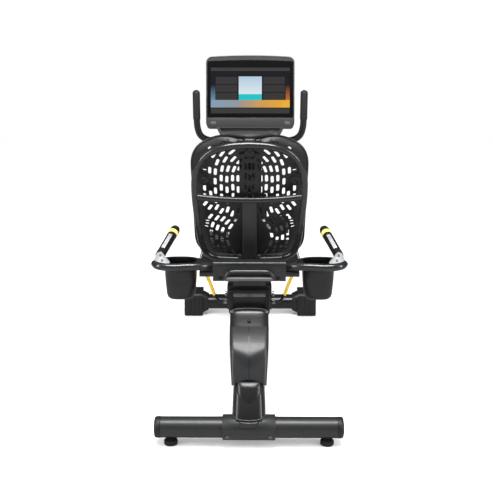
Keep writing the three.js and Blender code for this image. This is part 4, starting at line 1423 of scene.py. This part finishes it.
# ---------------------------------------------------------------- bracket and carriage
def from_cad(*nodes):
    """The CAD's own shape, joined into clean faces, in metres."""
    bm = bmesh.new()
    for node in nodes:
        bm.from_mesh(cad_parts[node].data)
    bmesh.ops.remove_doubles(bm, verts=bm.verts, dist=0.00002)
    bmesh.ops.dissolve_limit(bm, angle_limit=math.radians(0.6), verts=bm.verts,
                             edges=bm.edges, use_dissolve_boundaries=False)
    return bm


def dressed(node, material, body, width=None, angle=35, smooth=40, segments=2):
    """A CAD node's shape with every hard edge rounded."""
    bm = from_cad(node)
    soften(bm, width if width is not None else sizes().edge_round, segments, angle)
    return piece(f"{node}_shaped", bm, material, body, [node], Matrix.Identity(4),
                 smooth)


class BIKE_OT_seat_base(bpy.types.Operator):
    """Seat pan, frame, carriage, rear bracket and the handle that lifts it"""
    bl_idname = "bike.seat_base"
    bl_label = "Seat base"

    def execute(self, context):
        dressed("seat_pan", moulded_black(), "seat", 0.0025)
        dressed("seat_frame", powder_coat(), "seat", 0.002)
        dressed("seat_carriage", powder_coat(), "seat", 0.002)
        bracket = dressed("seat_bracket", powder_coat(), "seat", 0.0012)
        if not bracket.data.polygons:
            raise RuntimeError("the seat bracket came out empty")
        bm = bmesh.new()
        sweep(bm, [Vector((x, 264, 602)) for x in (-136, -60, 60, 136)], 5.2)
        piece("seat_bracket_roll", bm, gloss_paint(), "seat", ())
        bm = bmesh.new()
        loop = smooth_path([(-90, 247, 541), (-88, 246, 556), (-80, 246, 568), (-66, 246, 574),
                            (-40, 246, 575), (0, 246, 575), (40, 246, 575), (66, 246, 574),
                            (80, 246, 568), (88, 246, 556), (90, 247, 541)], 6)
        sweep(bm, loop, 7.4)
        piece("lift_handle_loop", bm, gloss_paint(), "seat", ["lift_handle"])
        bm = bmesh.new()
        sweep(bm, [Vector((x, 247, 546)) for x in (-84, -40, 40, 84)], 8.4, round_ends=6)
        piece("lift_handle_rod", bm, satin_grey(), "seat", ())
        # Near-black plates on the bracket's face where its two openings are: painted shade in
        # place of cut holes.
        bm = bmesh.new()
        for x in (-107, 107):
            prism(bm, rounded(x - 6.4, x + 6.4, 536, 552, 3), "Y", 265.6, 268)
        piece("seat_bracket_openings", bm, dark_recess(), "seat", ())
        return {"FINISHED"}


# ---------------------------------------------------------------- stabilisers
class BIKE_OT_rear_base(bpy.types.Operator):
    """Rear stabiliser with its sleeve, caps, screws and levelling feet"""
    bl_idname = "bike.rear_base"
    bl_label = "Rear stabiliser"

    def execute(self, context):
        bm = bmesh.new()
        revolve(bm, [(0, -317.6), (37, -317.6), (38, -316.5), (38, 316.5), (37, 317.6),
                     (0, 317.6)], (0, 0, BAR_HEIGHT), "X", 56)
        piece("rear_tube_painted", bm, powder_coat(), "frame", ["rear_stabiliser_tube"])
        bm = bmesh.new()
        revolve(bm, [(38.3, -94.5), (45, -94.5), (46, -93), (46, 93), (45, 94.5),
                     (38.3, 94.5)], (0, 0, BAR_HEIGHT), "X", 56)
        piece("rear_sleeve", bm, powder_coat(), "frame", ())
        screws("rear_sleeve_screws", [((x, -42, 47), (0, -0.91, -0.41)) for x in (-76, 76)],
               "frame", 0.0066, 3.6, finish_of=satin_grey())
        for name, side in SIDES.items():
            bm = bmesh.new()
            revolve(bm, [(0, side * 318.2), (38.6, side * 318.2), (38.6, side * 330),
                         (37.4, side * 335), (34, side * 338.4), (28, side * 339.8),
                         (0, side * 340)], (0, 0, BAR_HEIGHT), "X", 56)
            piece(f"rear_cap_{name}", bm, moulded_black(), "frame", [f"rear_end_cap_{name}"])
            self.foot(name, side)
        return {"FINISHED"}

    def foot(self, name, side):
        bm = bmesh.new()
        ribs = []
        for k, (c, d) in enumerate(circle(72)):
            radius = 24.6 if k % 3 else 23.4
            ribs.append((side * FOOT_OUT + radius * c, radius * d))
        prism(bm, ribs, "Z", 2.5, 15)
        revolve(bm, [(0, 0.4), (22, 0.4), (24, 1.6), (24, 2.6), (0, 2.6)],
                (side * FOOT_OUT, 0, 0), "Z", 40)
        revolve(bm, [(0, 15), (22.5, 15), (21.5, 17.5), (12, 18.5), (12, 23), (6, 23),
                     (6, 51.5), (0, 51.5)], (side * FOOT_OUT, 0, 0), "Z", 32)
        piece(f"rear_foot_moulded_{name}", bm, grip_rubber(), f"{name}_foot",
              [f"rear_foot_{name}"])


# ---------------------------------------------------------------- column
NECK_LINE = [(0, 92), (38, 150), (92, 235), (160, 312), (232, 358), (318, 388)]


def neck_at(z):
    """Place along the column's centre line at a height."""
    for (y0, z0), (y1, z1) in zip(NECK_LINE, NECK_LINE[1:]):
        if z <= z1:
            return y0 + (y1 - y0) * (z - z0) / (z1 - z0)
    return NECK_LINE[-1][0]


class BIKE_OT_column(bpy.types.Operator):
    """Rear column: welded neck, its cover, split shells, top panel and rail end"""
    bl_idname = "bike.column"
    bl_label = "Rear column"

    def execute(self, context):
        dressed("rear_neck", gloss_paint(), "frame", 0.003, 25, 35)
        self.neck_cover()
        for name, side in SIDES.items():
            self.shell(name, side)
        self.top_panel()
        self.rail_end()
        return {"FINISHED"}

    def neck_cover(self):
        """Smooth cover round the foot of the neck, with a painted highlight along its lower edge.
        """
        rings = []
        for z, half, front in ((116, 59, 47), (121, 60, 48), (150, 59, 48), (185, 57, 47),
                               (216, 56, 46)):
            y = neck_at(z)
            ring = []
            for c, d in circle(40):
                u, v = squared(c, 0.5), squared(d, 0.8)
                ring.append((half * u, y + (front if v < 0 else 42) * v, z))
            rings.append(ring)
        for index in (0, 1):
            rings[index] = [(x, y - 3 * (1 - (x / 57) ** 2), z - 7 * (1 - (x / 57) ** 2))
                            for x, y, z in rings[index]]
        bm = bmesh.new()
        loft(bm, rings)
        piece("neck_cover_moulded", bm, satin_black(), "frame", ["neck_cover"],
              smooth=60)
        self.neck_round()
        # A thin satin grey bead along the cover's lower edge: a painted highlight for the bright
        # line that light draws there.
        bm = bmesh.new()
        edge = rings[0][20:] + rings[0][:1]
        sweep(bm, [Vector(p) + Vector((0, -0.3, -0.3)) for p in edge], 1.5)
        piece("neck_cover_edge", bm, satin_grey(), "frame", ())
        rings = []
        for z, grow in ((94, 4), (104, 2), (115, 0)):
            ring = []
            for c, d in circle(40):
                drop = 9 * (1 - abs(c) ** 1.4) if d < 0 else 0
                u, v = squared(c, 0.62), squared(d, 0.8)
                ring.append(((54 + grow) * u, neck_at(z) + (43 + grow) * v, z - drop))
            rings.append(ring)
        bm = bmesh.new()
        loft(bm, rings)
        piece("neck_collar", bm, gloss_paint(), "frame", (), smooth=60)

    def neck_round(self):
        """Round inner neck that shows above the cover, with a round foot."""
        rings = []
        for share in (0.0, 0.3, 0.55, 0.75, 0.88, 0.95, 0.985):
            z = 224 - 62 * share
            half = 46 * (1 - share ** 5) ** 0.5
            ring = []
            for c, d in circle(32):
                u = squared(c, 0.8)
                ring.append((half * u, neck_at(z) - 34 + (20 - 4 * share ** 6) * d, z))
            rings.append(ring)
        bm = bmesh.new()
        loft(bm, rings)
        piece("neck_round", bm, satin_black(), "frame", (), smooth=60)

    def shell(self, name, side):
        """Half of the split cover: full above, drawn in below, with an arched foot."""
        # rear y, rear z, front y, front z, half width
        stations = [(30, 212, 98, 206, 63), (37, 226, 110, 218, 64), (46, 243, 122, 232, 65),
                    (58, 265, 138, 246, 66.5), (73, 290, 160, 262, 68),
                    (92, 314, 182, 278, 69.5), (117, 338, 206, 294, 71),
                    (148, 361, 230, 312, 72), (185, 382, 252, 332, 73)]
        line = smooth_path([(a, b, 0) for a, b, *_ in stations], 4)
        front = smooth_path([(c, d, 0) for _, _, c, d, _ in stations], 4)
        halves = smooth_path([(h, 0, 0) for *_, h in stations], 4)
        rings = []
        for p, q, h in zip(line, front, halves):
            rear, fore = Vector((0, p.x, p.y)), Vector((0, q.x, q.y))
            inward = (fore - rear).normalized()
            ring = []
            for skin in (0, 3):
                strip = []
                for i in range(17):
                    u = i / 16 if i < 13 else 0.75 + 0.25 * math.sin((i - 12) * math.pi / 8)
                    x = 0.6 + (h.x - 0.6 - skin) * u
                    level = (p.y - 288 - 30 * u) / 15
                    full = 1 / (1 + math.exp(-level * 2.2))
                    ease = max(0.0, (p.y - 288) / 94)
                    fall = 3 * u * u + 7 * max(0.0, (u - 0.84) / 0.16) ** 2
                    depth = fall - 15 * full * (1 - ease) ** 0.8 + skin
                    point = rear + inward * depth
                    strip.append((side * x, point.y, point.z))
                end = rear + inward * 66
                strip.append((side * (h.x - skin), end.y, end.z))
                ring += strip if skin == 0 else list(reversed(strip))
            rings.append(ring)
        for step, ring in enumerate(rings[:7]):
            share = 1 - step / 7
            for i, (x, y, z) in enumerate(ring):
                arch = 19 * max(0.0, 1 - (x / 58) ** 2) ** 0.8 * share
                ring[i] = (x, y + arch * 0.55, z + arch)
        bm = bmesh.new()
        loft(bm, rings)
        bmesh.ops.remove_doubles(bm, verts=bm.verts, dist=0.02)
        piece(f"column_shell_{name}", bm, powder_coat(), "frame", [f"column_cover_{name}"],
              smooth=48)

    def top_panel(self):
        """Hood between the split shells and the rail's end, with a painted highlight along its
        crest and a dark dish painted as the shade in its one hole.
        """
        # place and height of the hood's side, from its foot to its crest
        side_line = smooth_path([(184, 382, 0), (197, 389, 0), (214, 398, 0), (232, 407, 0),
                                 (245, 416, 0), (250, 425, 0)], 4)
        rings = []
        for i, point in enumerate(side_line):
            share = i / (len(side_line) - 1)
            ring = []
            for skin in (0, 4):
                strip = []
                for k in range(17):
                    u = -1 + k / 8
                    wide = 72.5 - skin
                    fall = 8 * abs(u) ** 6
                    strip.append((wide * u, point.x + fall * 0.6 + skin * 0.7,
                                  point.y - fall - skin * 0.7 + 5 * share * (1 - u * u)))
                ring += strip if skin == 0 else list(reversed(strip))
            rings.append(ring)
        bm = bmesh.new()
        loft(bm, rings)
        piece("column_panel_moulded", bm, satin_black(), "frame", ["column_top_panel"],
              smooth=50)
        # A thin satin grey rod along the hood's crest: a painted highlight for the bright line
        # that light draws there.
        bm = bmesh.new()
        crest = rings[-1][:17]
        sweep(bm, [Vector(p) + Vector((0, -0.4, 0.2)) for p in crest[1:-1]], 1.3)
        piece("column_panel_edge", bm, satin_grey(), "frame", ())
        # A near-black dish where the hood's hole is: painted shade, not a cut.
        bm = bmesh.new()
        revolve(bm, [(0, 0), (7.2, 0), (7.2, 1.6), (6.4, 1.6), (6.0, 0.6), (0, 0.6)],
                (0, 0, 0), "Z", 28)
        tilt = leaning_at(Vector((-1, 203, 397.4)), 24)
        piece("column_panel_hole", bm, dark_recess(), "frame", (), tilt)

    def rail_end(self):
        """Rounded end of the rail: a light band over a deep recess."""
        bm = bmesh.new()
        prism(bm, rounded(-78, 78, -95, 4, 13, 8), "Y", -16, 1.5)
        cut(bm, lambda tool: prism(tool, rounded(-64, 64, -80, -11, 5), "Y", -20, -5),
            lambda tool: prism(tool, rounded(-52, 52, -110, -70, 4), "Y", -20, 5))
        soften(bm, 2.4, 3, 30)
        piece("rail_end_moulded", bm, satin_black(), "frame", ["rail_end_cap"],
              RAIL_FRAME)
        bm = bmesh.new()
        prism(bm, rounded(-62, 62, -26, -12, 4), "Y", -13.5, -6)
        soften(bm, 1.6, 3)
        piece("rail_end_band", bm, satin_grey(), "frame", (), RAIL_FRAME)
        bm = bmesh.new()
        for x in (-5, 0, 5):
            block(bm, x - 0.8, x + 0.8, -14.4, -13, -25, -13)
        piece("rail_end_ribs", bm, satin_black(), "frame", (), RAIL_FRAME)


def satin_grey():
    return finish("satin_grey", (0.06, 0.061, 0.064), 0.36, grain=1500, bump=0.12, coat=0.1)


# ---------------------------------------------------------------- long frame
class BIKE_OT_long_frame(bpy.types.Operator):
    """Slide rail, spine, front stabiliser and the feet blocks with their wheels"""
    bl_idname = "bike.long_frame"
    bl_label = "Rail and spine"

    def execute(self, context):
        dressed("seat_rail", powder_coat(), "frame", 0.0015)
        dressed("front_frame", powder_coat(), "frame", 0.003, 25)
        bm = bmesh.new()
        for x in (-54, -40, 40, 54):
            block(bm, x - 1.2, x + 1.2, 380, 786, -0.6, 0.15)
        piece("seat_rail_tracks", bm, machined_steel(), "frame", (),
              RAIL_FRAME)
        low, high = from_box("front_stabiliser_tube")
        radius = (high.z - low.z) / 2
        centre = (0, (low.y + high.y) / 2, (low.z + high.z) / 2)
        half = high.x
        bm = bmesh.new()
        revolve(bm, [(0, -half), (radius - 1, -half), (radius, -half + 1), (radius, half - 1),
                     (radius - 1, half), (0, half)], centre, "X", 48)
        piece("front_tube_painted", bm, satin_black(), "frame", ["front_stabiliser_tube"])
        for name, side in SIDES.items():
            self.housing(name, side)
            self.wheel(name)
        dressed("power_inlet", moulded_black(), "frame", 0.001)
        return {"FINISHED"}

    def housing(self, name, side):
        node = f"front_housing_{name}"
        bm = from_cad(node)
        soften(bm, 0.003, 3, 30)
        piece(f"{node}_moulded", bm, moulded_black(), "frame", [node],
              Matrix.Identity(4))
        low, high = from_box(node)
        bm = bmesh.new()
        width = high.x - low.x
        for k in range(3):
            x = low.x + width * (0.16 + 0.25 * k)
            prism(bm, rounded(x, x + width * 0.17, low.z + 12, high.z - 16, 6), "Y",
                  low.y - 3.0, low.y + 4)
        soften(bm, 1.6, 2, 40)
        piece(f"front_housing_ribs_{name}", bm, moulded_black(), "frame", ())
        bm = bmesh.new()
        inner = side * min(abs(low.x), abs(high.x))
        rings = []
        for x, deep, tall in ((inner + side * 4, 44, 54), (inner - side * 6, 44, 53),
                              (inner - side * 26, 41, 43), (inner - side * 30, 40, 41)):
            rings.append([(x, WHEELBASE + deep * squared(c, 0.6),
                           BAR_HEIGHT + tall * squared(d, 0.6)) for c, d in circle(32)])
        loft(bm, rings)
        piece(f"front_housing_shoulder_{name}", bm, moulded_black(), "frame", (),
              smooth=50)

    def wheel(self, name):
        node = f"transport_wheel_{name}"
        low, high = from_box(node)
        centre = (0, (low.y + high.y) / 2, (low.z + high.z) / 2)
        r = (high.z - low.z) / 2
        a, b = low.x, high.x
        profile = [(0, a + 1), (7, a + 1), (8, a + 4), (r - 10, a + 4), (r - 9, a), (r - 2, a),
                   (r - 0.3, a + 2.5), (r - 0.3, b - 2.5), (r - 2, b), (r - 9, b),
                   (r - 10, b - 4), (8, b - 4), (7, b - 1), (0, b - 1)]
        bm = bmesh.new()
        revolve(bm, profile, centre, "X", 48)
        piece(f"transport_wheel_moulded_{name}", bm, grip_rubber(), f"{name}_wheel", [node])


# ---------------------------------------------------------------- drive
class BIKE_OT_shroud(bpy.types.Operator):
    """Split shroud round the drive, its trim rings and the parts turning inside"""
    bl_idname = "bike.shroud"
    bl_label = "Drive shroud"

    def execute(self, context):
        for name, side in SIDES.items():
            dressed(f"shroud_{name}", gloss_black(), "frame", 0.004, 30, 38, 3)
            bm = bmesh.new()
            x = side * 80
            revolve(bm, [(58, x - side * 1), (58, x + side * 2.2), (64, x + side * 3),
                         (104, x + side * 2.4), (110, x), (110, x - side * 1)],
                    CRANK_CENTRE, "X", 64)
            piece(f"shroud_ring_{name}", bm, satin_grey(), "frame", ())
            screws(f"shroud_screws_{name}",
                   [((x, y, z), (side, 0, 0)) for y, z in
                    ((1200, 330), (1330, 640), (1430, 280), (1250, 560), (1455, 440))],
                   "frame", 0.005, 2.4)
            dressed(f"crank_bearing_{name}", machined_steel(), "frame",
                    0.0008)
        dressed("drive_pulley", cast_silver(), "crank", 0.001)
        dressed("crank_axle", machined_steel(), "crank", 0.0008)
        dressed("generator_rotor", rotor_iron(), "rotor", 0.001)
        dressed("belt_idler", machined_steel(), "idler", 0.0006)
        dressed("drive_belt", grip_rubber(), "frame", 0.0004)
        return {"FINISHED"}


def rotor_iron():
    return finish("rotor_iron", (0.10, 0.10, 0.105), 0.4, metallic=0.9, grain=900, bump=0.2)


class BIKE_OT_cranks(bpy.types.Operator):
    """Forged crank arms and pedals with ribbed treads and straps"""
    bl_idname = "bike.cranks"
    bl_label = "Cranks and pedals"

    def execute(self, context):
        for name, side in SIDES.items():
            dressed(f"crank_arm_{name}", cast_silver(), "crank", 0.0028, 30,
                    40, 3)
            low, high = from_box(f"crank_arm_{name}")
            x = high.x if side > 0 else low.x
            bm = bmesh.new()
            revolve(bm, [(0, x), (15, x), (15.5, x + side * 2), (13, x + side * 4.5),
                         (0, x + side * 5.5)], CRANK_CENTRE, "X", 32)
            piece(f"crank_cap_{name}", bm, moulded_black(), "crank", ())
            self.pedal(name, side)
        return {"FINISHED"}

    def pedal(self, name, side):
        node = f"pedal_{name}"
        body = f"{name}_pedal"
        dressed(node, moulded_black(), body, 0.0022)
        low, high = from_box(node)
        centre = Vector(((low.x + high.x) / 2, (low.y + high.y) / 2, (low.z + high.z) / 2))
        middle = side * (max(abs(low.x), abs(high.x)) - 50)
        tilt = leaning_at(Vector((middle, centre.y, centre.z)), -60)
        bm = bmesh.new()
        for k in range(6):
            y = -36 + k * 14.4
            for z in (-13.2, 13.2):
                prism(bm, rounded(-41, 41, y - 2.2, y + 2.2, 2), "Z", z - 1.6, z + 1.6)
        piece(f"pedal_treads_{name}", bm, grip_rubber(), body, (), tilt)
        bm = bmesh.new()
        strap = smooth_path([(-47, -2, -6), (-50, -2, 16), (-40, -1, 44), (0, 0, 56),
                             (40, -1, 44), (50, -2, 16), (47, -2, -6)], 8)
        sweep(bm, strap, [(-1.6, -13), (1.6, -13), (1.6, 13), (-1.6, 13)])
        soften(bm, 0.7, 2, 50)
        piece(f"pedal_strap_{name}", bm, grip_rubber(), body, (), tilt)
        bm = bmesh.new()
        block(bm, 44, 52, -11, 7, 4, 16)
        soften(bm, 1.5)
        piece(f"pedal_buckle_{name}", bm, moulded_black(), body, (), tilt)


def leaning_at(point, degrees):
    turn = Matrix.Rotation(math.radians(degrees), 4, "X")
    return FLOOR_FRAME @ Matrix.Translation(point) @ turn


# ---------------------------------------------------------------- mast and console
class BIKE_OT_mast(bpy.types.Operator):
    """Console mast with its cover, and the console's own handlebar"""
    bl_idname = "bike.mast"
    bl_label = "Mast and handlebar"

    def execute(self, context):
        dressed("console_mast", gloss_paint(), "frame", 0.003, 30)
        dressed("mast_cover", gloss_black(), "frame", 0.006, 25, 38, 3)
        right = [CLAMP_CENTRE, (60, 1086, 955), (130, 1080, 955), (178, 1058, 956),
                 (206, 1034, 967), (225, 1008, 988), (234, 990, 1020), (236.5, 980, 1060),
                 (236.5, 974, 1120), (236.5, 970.5, 1176)]
        left = [(-x, y, z) for x, y, z in reversed(right[1:])]
        bm = bmesh.new()
        sweep(bm, smooth_path(left + right, 8), 14.3, round_ends=12)
        piece("handlebar_painted", bm, satin_black(), "frame", ["console_handlebar"])
        for name, side in SIDES.items():
            bm = bmesh.new()
            path = smooth_path(mirrored([(236.5, 980, 1062), (236.5, 974, 1120),
                                         (236.5, 970.5, 1176)], side), 8)
            sweep(bm, path, 16.2, round_ends=11)
            piece(f"handlebar_grip_{name}", bm, grip_rubber(), "frame", ())
        bm = bmesh.new()
        revolve(bm, [(16, -44), (22, -43), (23, -40), (23, 40), (22, 43), (16, 44)],
                CLAMP_CENTRE, "X", 40)
        piece("handlebar_clamp", bm, moulded_black(), "frame", ())
        return {"FINISHED"}


class BIKE_OT_console(bpy.types.Operator):
    """Console head: rounded shell, glossy bezel, lit screen, keypad, buttons and tray"""
    bl_idname = "bike.console"
    bl_label = "Console"

    def execute(self, context):
        self.back_shell()
        self.bezel()
        self.keypad()
        self.tray()
        self.screen()
        return {"FINISHED"}

    def head(self, half, bottom, top, radius, crown=7):
        """Outline of the head with a crowned top edge, across and up."""
        outline = []
        for x, z in rounded(-half, half, bottom, top, radius, 6):
            lift = crown * (1 - (x / half) ** 2) if z > 0 else 0
            outline.append((x, z + lift))
        for i in range(1, 12):
            x = half - radius - (2 * half - 2 * radius) * i / 12
            outline.insert(13 + i, (x, top + crown * (1 - (x / half) ** 2)))
        return outline

    def back_shell(self):
        bm = bmesh.new()
        rings = []
        for y, inset in ((14, 0), (17, -0.0), (30, 4), (44, 14), (54, 30), (57.5, 46)):
            rings.append([(x, y, z) for x, z in
                          self.head(196 - inset, -160 + inset * 0.8, 154 - inset * 0.7,
                                    max(8, 24 - inset * 0.2))])
        loft(bm, rings)
        piece("console_back_moulded", bm, moulded_black(), "frame", ["console_back_shell"],
              CONSOLE_FRAME, 50)
        bm = bmesh.new()
        path = [Vector((x, 13.5, z)) for x, z in self.head(195.4, -159, 154.5, 24)]
        sweep(bm, path, [(2.4 * math.cos(a * math.pi / 5), 2.4 * math.sin(a * math.pi / 5))
                         for a in range(10)], closed=True)
        piece("console_edge", bm, satin_grey(), "frame", (), CONSOLE_FRAME)

    def bezel(self):
        bm = bmesh.new()
        outer = self.head(190.5, -113, 137, 6, 5)
        rings = [[(x, 13.7, z) for x, z in outer],
                 [(x, 6.5, z) for x, z in outer],
                 [(x * 0.992, 4.2, z * 0.992) for x, z in outer]]
        loft(bm, rings)
        piece("console_bezel_moulded", bm, gloss_black(), "frame", ["console_bezel"],
              CONSOLE_FRAME, 30)
        bm = bmesh.new()
        revolve(bm, [(0, 12.2), (2.6, 12.4), (3.2, 13.6), (0, 13.6)], (0, 0, 145), "Y", 24)
        piece("console_sensor", bm, dark_recess(), "frame", (),
              CONSOLE_FRAME)

    def screen(self):
        bm = bmesh.new()
        layer = bm.loops.layers.uv.new("picture")
        corners = [(-176, -94.6), (176, -94.6), (176, 107.7), (-176, 107.7)]
        front = [bm.verts.new((x, 3.5, z)) for x, z in corners]
        back = [bm.verts.new((x, 4.6, z)) for x, z in corners]
        bm.faces.new(front)
        bm.faces.new(list(reversed(back)))
        bridge(bm, front, back)
        for face in bm.faces:
            for loop in face.loops:
                loop[layer].uv = (loop.vert.co.x * MM, (loop.vert.co.z + 8.7) * MM)
        piece("console_screen_lit", bm, screen_glass(), "frame", ["console_screen"],
              CONSOLE_FRAME)

    def keypad(self):
        bm = bmesh.new()
        outline = []
        for x, z in rounded(-193, 193, -163, -113.3, 14, 6):
            if z > -125:
                x = math.copysign(193, x) if abs(x) > 170 else x
                z = -113.3
            outline.append((x, z))
        outline = list(dict.fromkeys(outline))
        prism(bm, outline, "Y", 0.8, 13.7)
        soften(bm, 2.0, 3, 50)
        piece("keypad_moulded", bm, keypad_grey(), "frame", ["keypad_strip"],
              CONSOLE_FRAME)
        bm = bmesh.new()
        for x0, x1 in ((-120, -30), (-14, 30), (44, 118)):
            prism(bm, rounded(x0, x1, -137, -129, 3.9), "Y", 0.2, 1.4)
        piece("keypad_speakers", bm, speaker_cloth(), "frame", (),
              CONSOLE_FRAME)
        for name, side in SIDES.items():
            node = f"console_button_{name}"
            bm = bmesh.new()
            oval = rounded(-13, 13, -7, 7, 6.9, 8)
            rings = [[(side * 165 + a * k, y, -138 + b * k) for a, b in oval]
                     for y, k in ((5.5, 0.99), (0.4, 0.99), (-0.8, 0.93), (-1.1, 0.8))]
            loft(bm, rings)
            piece(f"{node}_moulded", bm, satin_grey(), f"{name}_button", [node],
                  CONSOLE_FRAME, 50)

    def tray(self):
        """Tray below the keypad, dished, with a painted highlight line along its front lip."""
        outline = [(-150, -160), (-131, -196), (-126, -200), (126, -200), (131, -196),
                   (150, -160)]
        bm = bmesh.new()
        prism(bm, outline, "Y", -36, 12)
        recess = [(-133, -164), (133, -164), (120, -190), (-120, -190)]
        cut(bm, lambda tool: prism(tool, recess, "Y", -40, -22))
        soften(bm, 1.6, 3, 30)
        piece("tray_moulded", bm, keypad_grey(), "frame", ["accessory_tray"],
              CONSOLE_FRAME)
        # A thin satin grey rod along the front lip is a painted highlight; the two small pads sit
        # in the tray's dish.
        bm = bmesh.new()
        lip = [(-121, -36.4, -190.5), (-60, -36.6, -191.5), (60, -36.6, -191.5),
               (121, -36.4, -190.5)]
        sweep(bm, smooth_path(lip, 5), 1.2)
        prism(bm, rounded(-3, 3, -180, -175, 2), "Y", -24, -21)
        prism(bm, rounded(88, 104, -180, -173, 3), "Y", -24, -21)
        piece("tray_lip", bm, satin_grey(), "frame", (), CONSOLE_FRAME)


def keypad_grey():
    return finish("keypad_grey", (0.013, 0.0135, 0.014), 0.5, grain=1500, bump=0.9, uneven=0.2)


def speaker_cloth():
    return finish("speaker_cloth", (0.018, 0.018, 0.019), 0.7, grain=3000, bump=0.8)


# ---------------------------------------------------------------- panel
PIECES = [BIKE_OT_rear_base, BIKE_OT_column, BIKE_OT_long_frame, BIKE_OT_seat_base,
          BIKE_OT_seat_back, BIKE_OT_back_frame, BIKE_OT_cushion, BIKE_OT_side_arms,
          BIKE_OT_cup_holders, BIKE_OT_levers, BIKE_OT_shroud, BIKE_OT_cranks, BIKE_OT_mast,
          BIKE_OT_console, BIKE_OT_stage]


class BIKE_PT_panel(bpy.types.Panel):
    """Lists the bike's finishes, sizes and pieces"""
    bl_idname = "BIKE_PT_panel"
    bl_label = "Recumbent bike"
    bl_space_type = "VIEW_3D"
    bl_region_type = "UI"
    bl_category = "Bike"

    def draw(self, context):
        layout = self.layout
        for settings in (context.scene.bike_finishes, context.scene.bike_sizes):
            box = layout.box()
            for key in settings.__annotations__:
                box.prop(settings, key)
        for operator in PIECES:
            layout.operator(operator.bl_idname, text=operator.bl_label)


CLASSES = [BikeFinishes, BikeSizes, *PIECES, BIKE_PT_panel]


def register():
    for cls in CLASSES:
        bpy.utils.register_class(cls)
    bpy.types.Scene.bike_finishes = PointerProperty(type=BikeFinishes)
    bpy.types.Scene.bike_sizes = PointerProperty(type=BikeSizes)


def unregister():
    del bpy.types.Scene.bike_finishes
    del bpy.types.Scene.bike_sizes
    for cls in reversed(CLASSES):
        bpy.utils.unregister_class(cls)


def main():
    register()
    for operator in PIECES:
        group, call = operator.bl_idname.split(".")
        result = getattr(getattr(bpy.ops, group), call)()
        if result != {"FINISHED"}:
            raise RuntimeError(f"{operator.bl_label} did not finish")


if __name__ == "__main__":
    main()
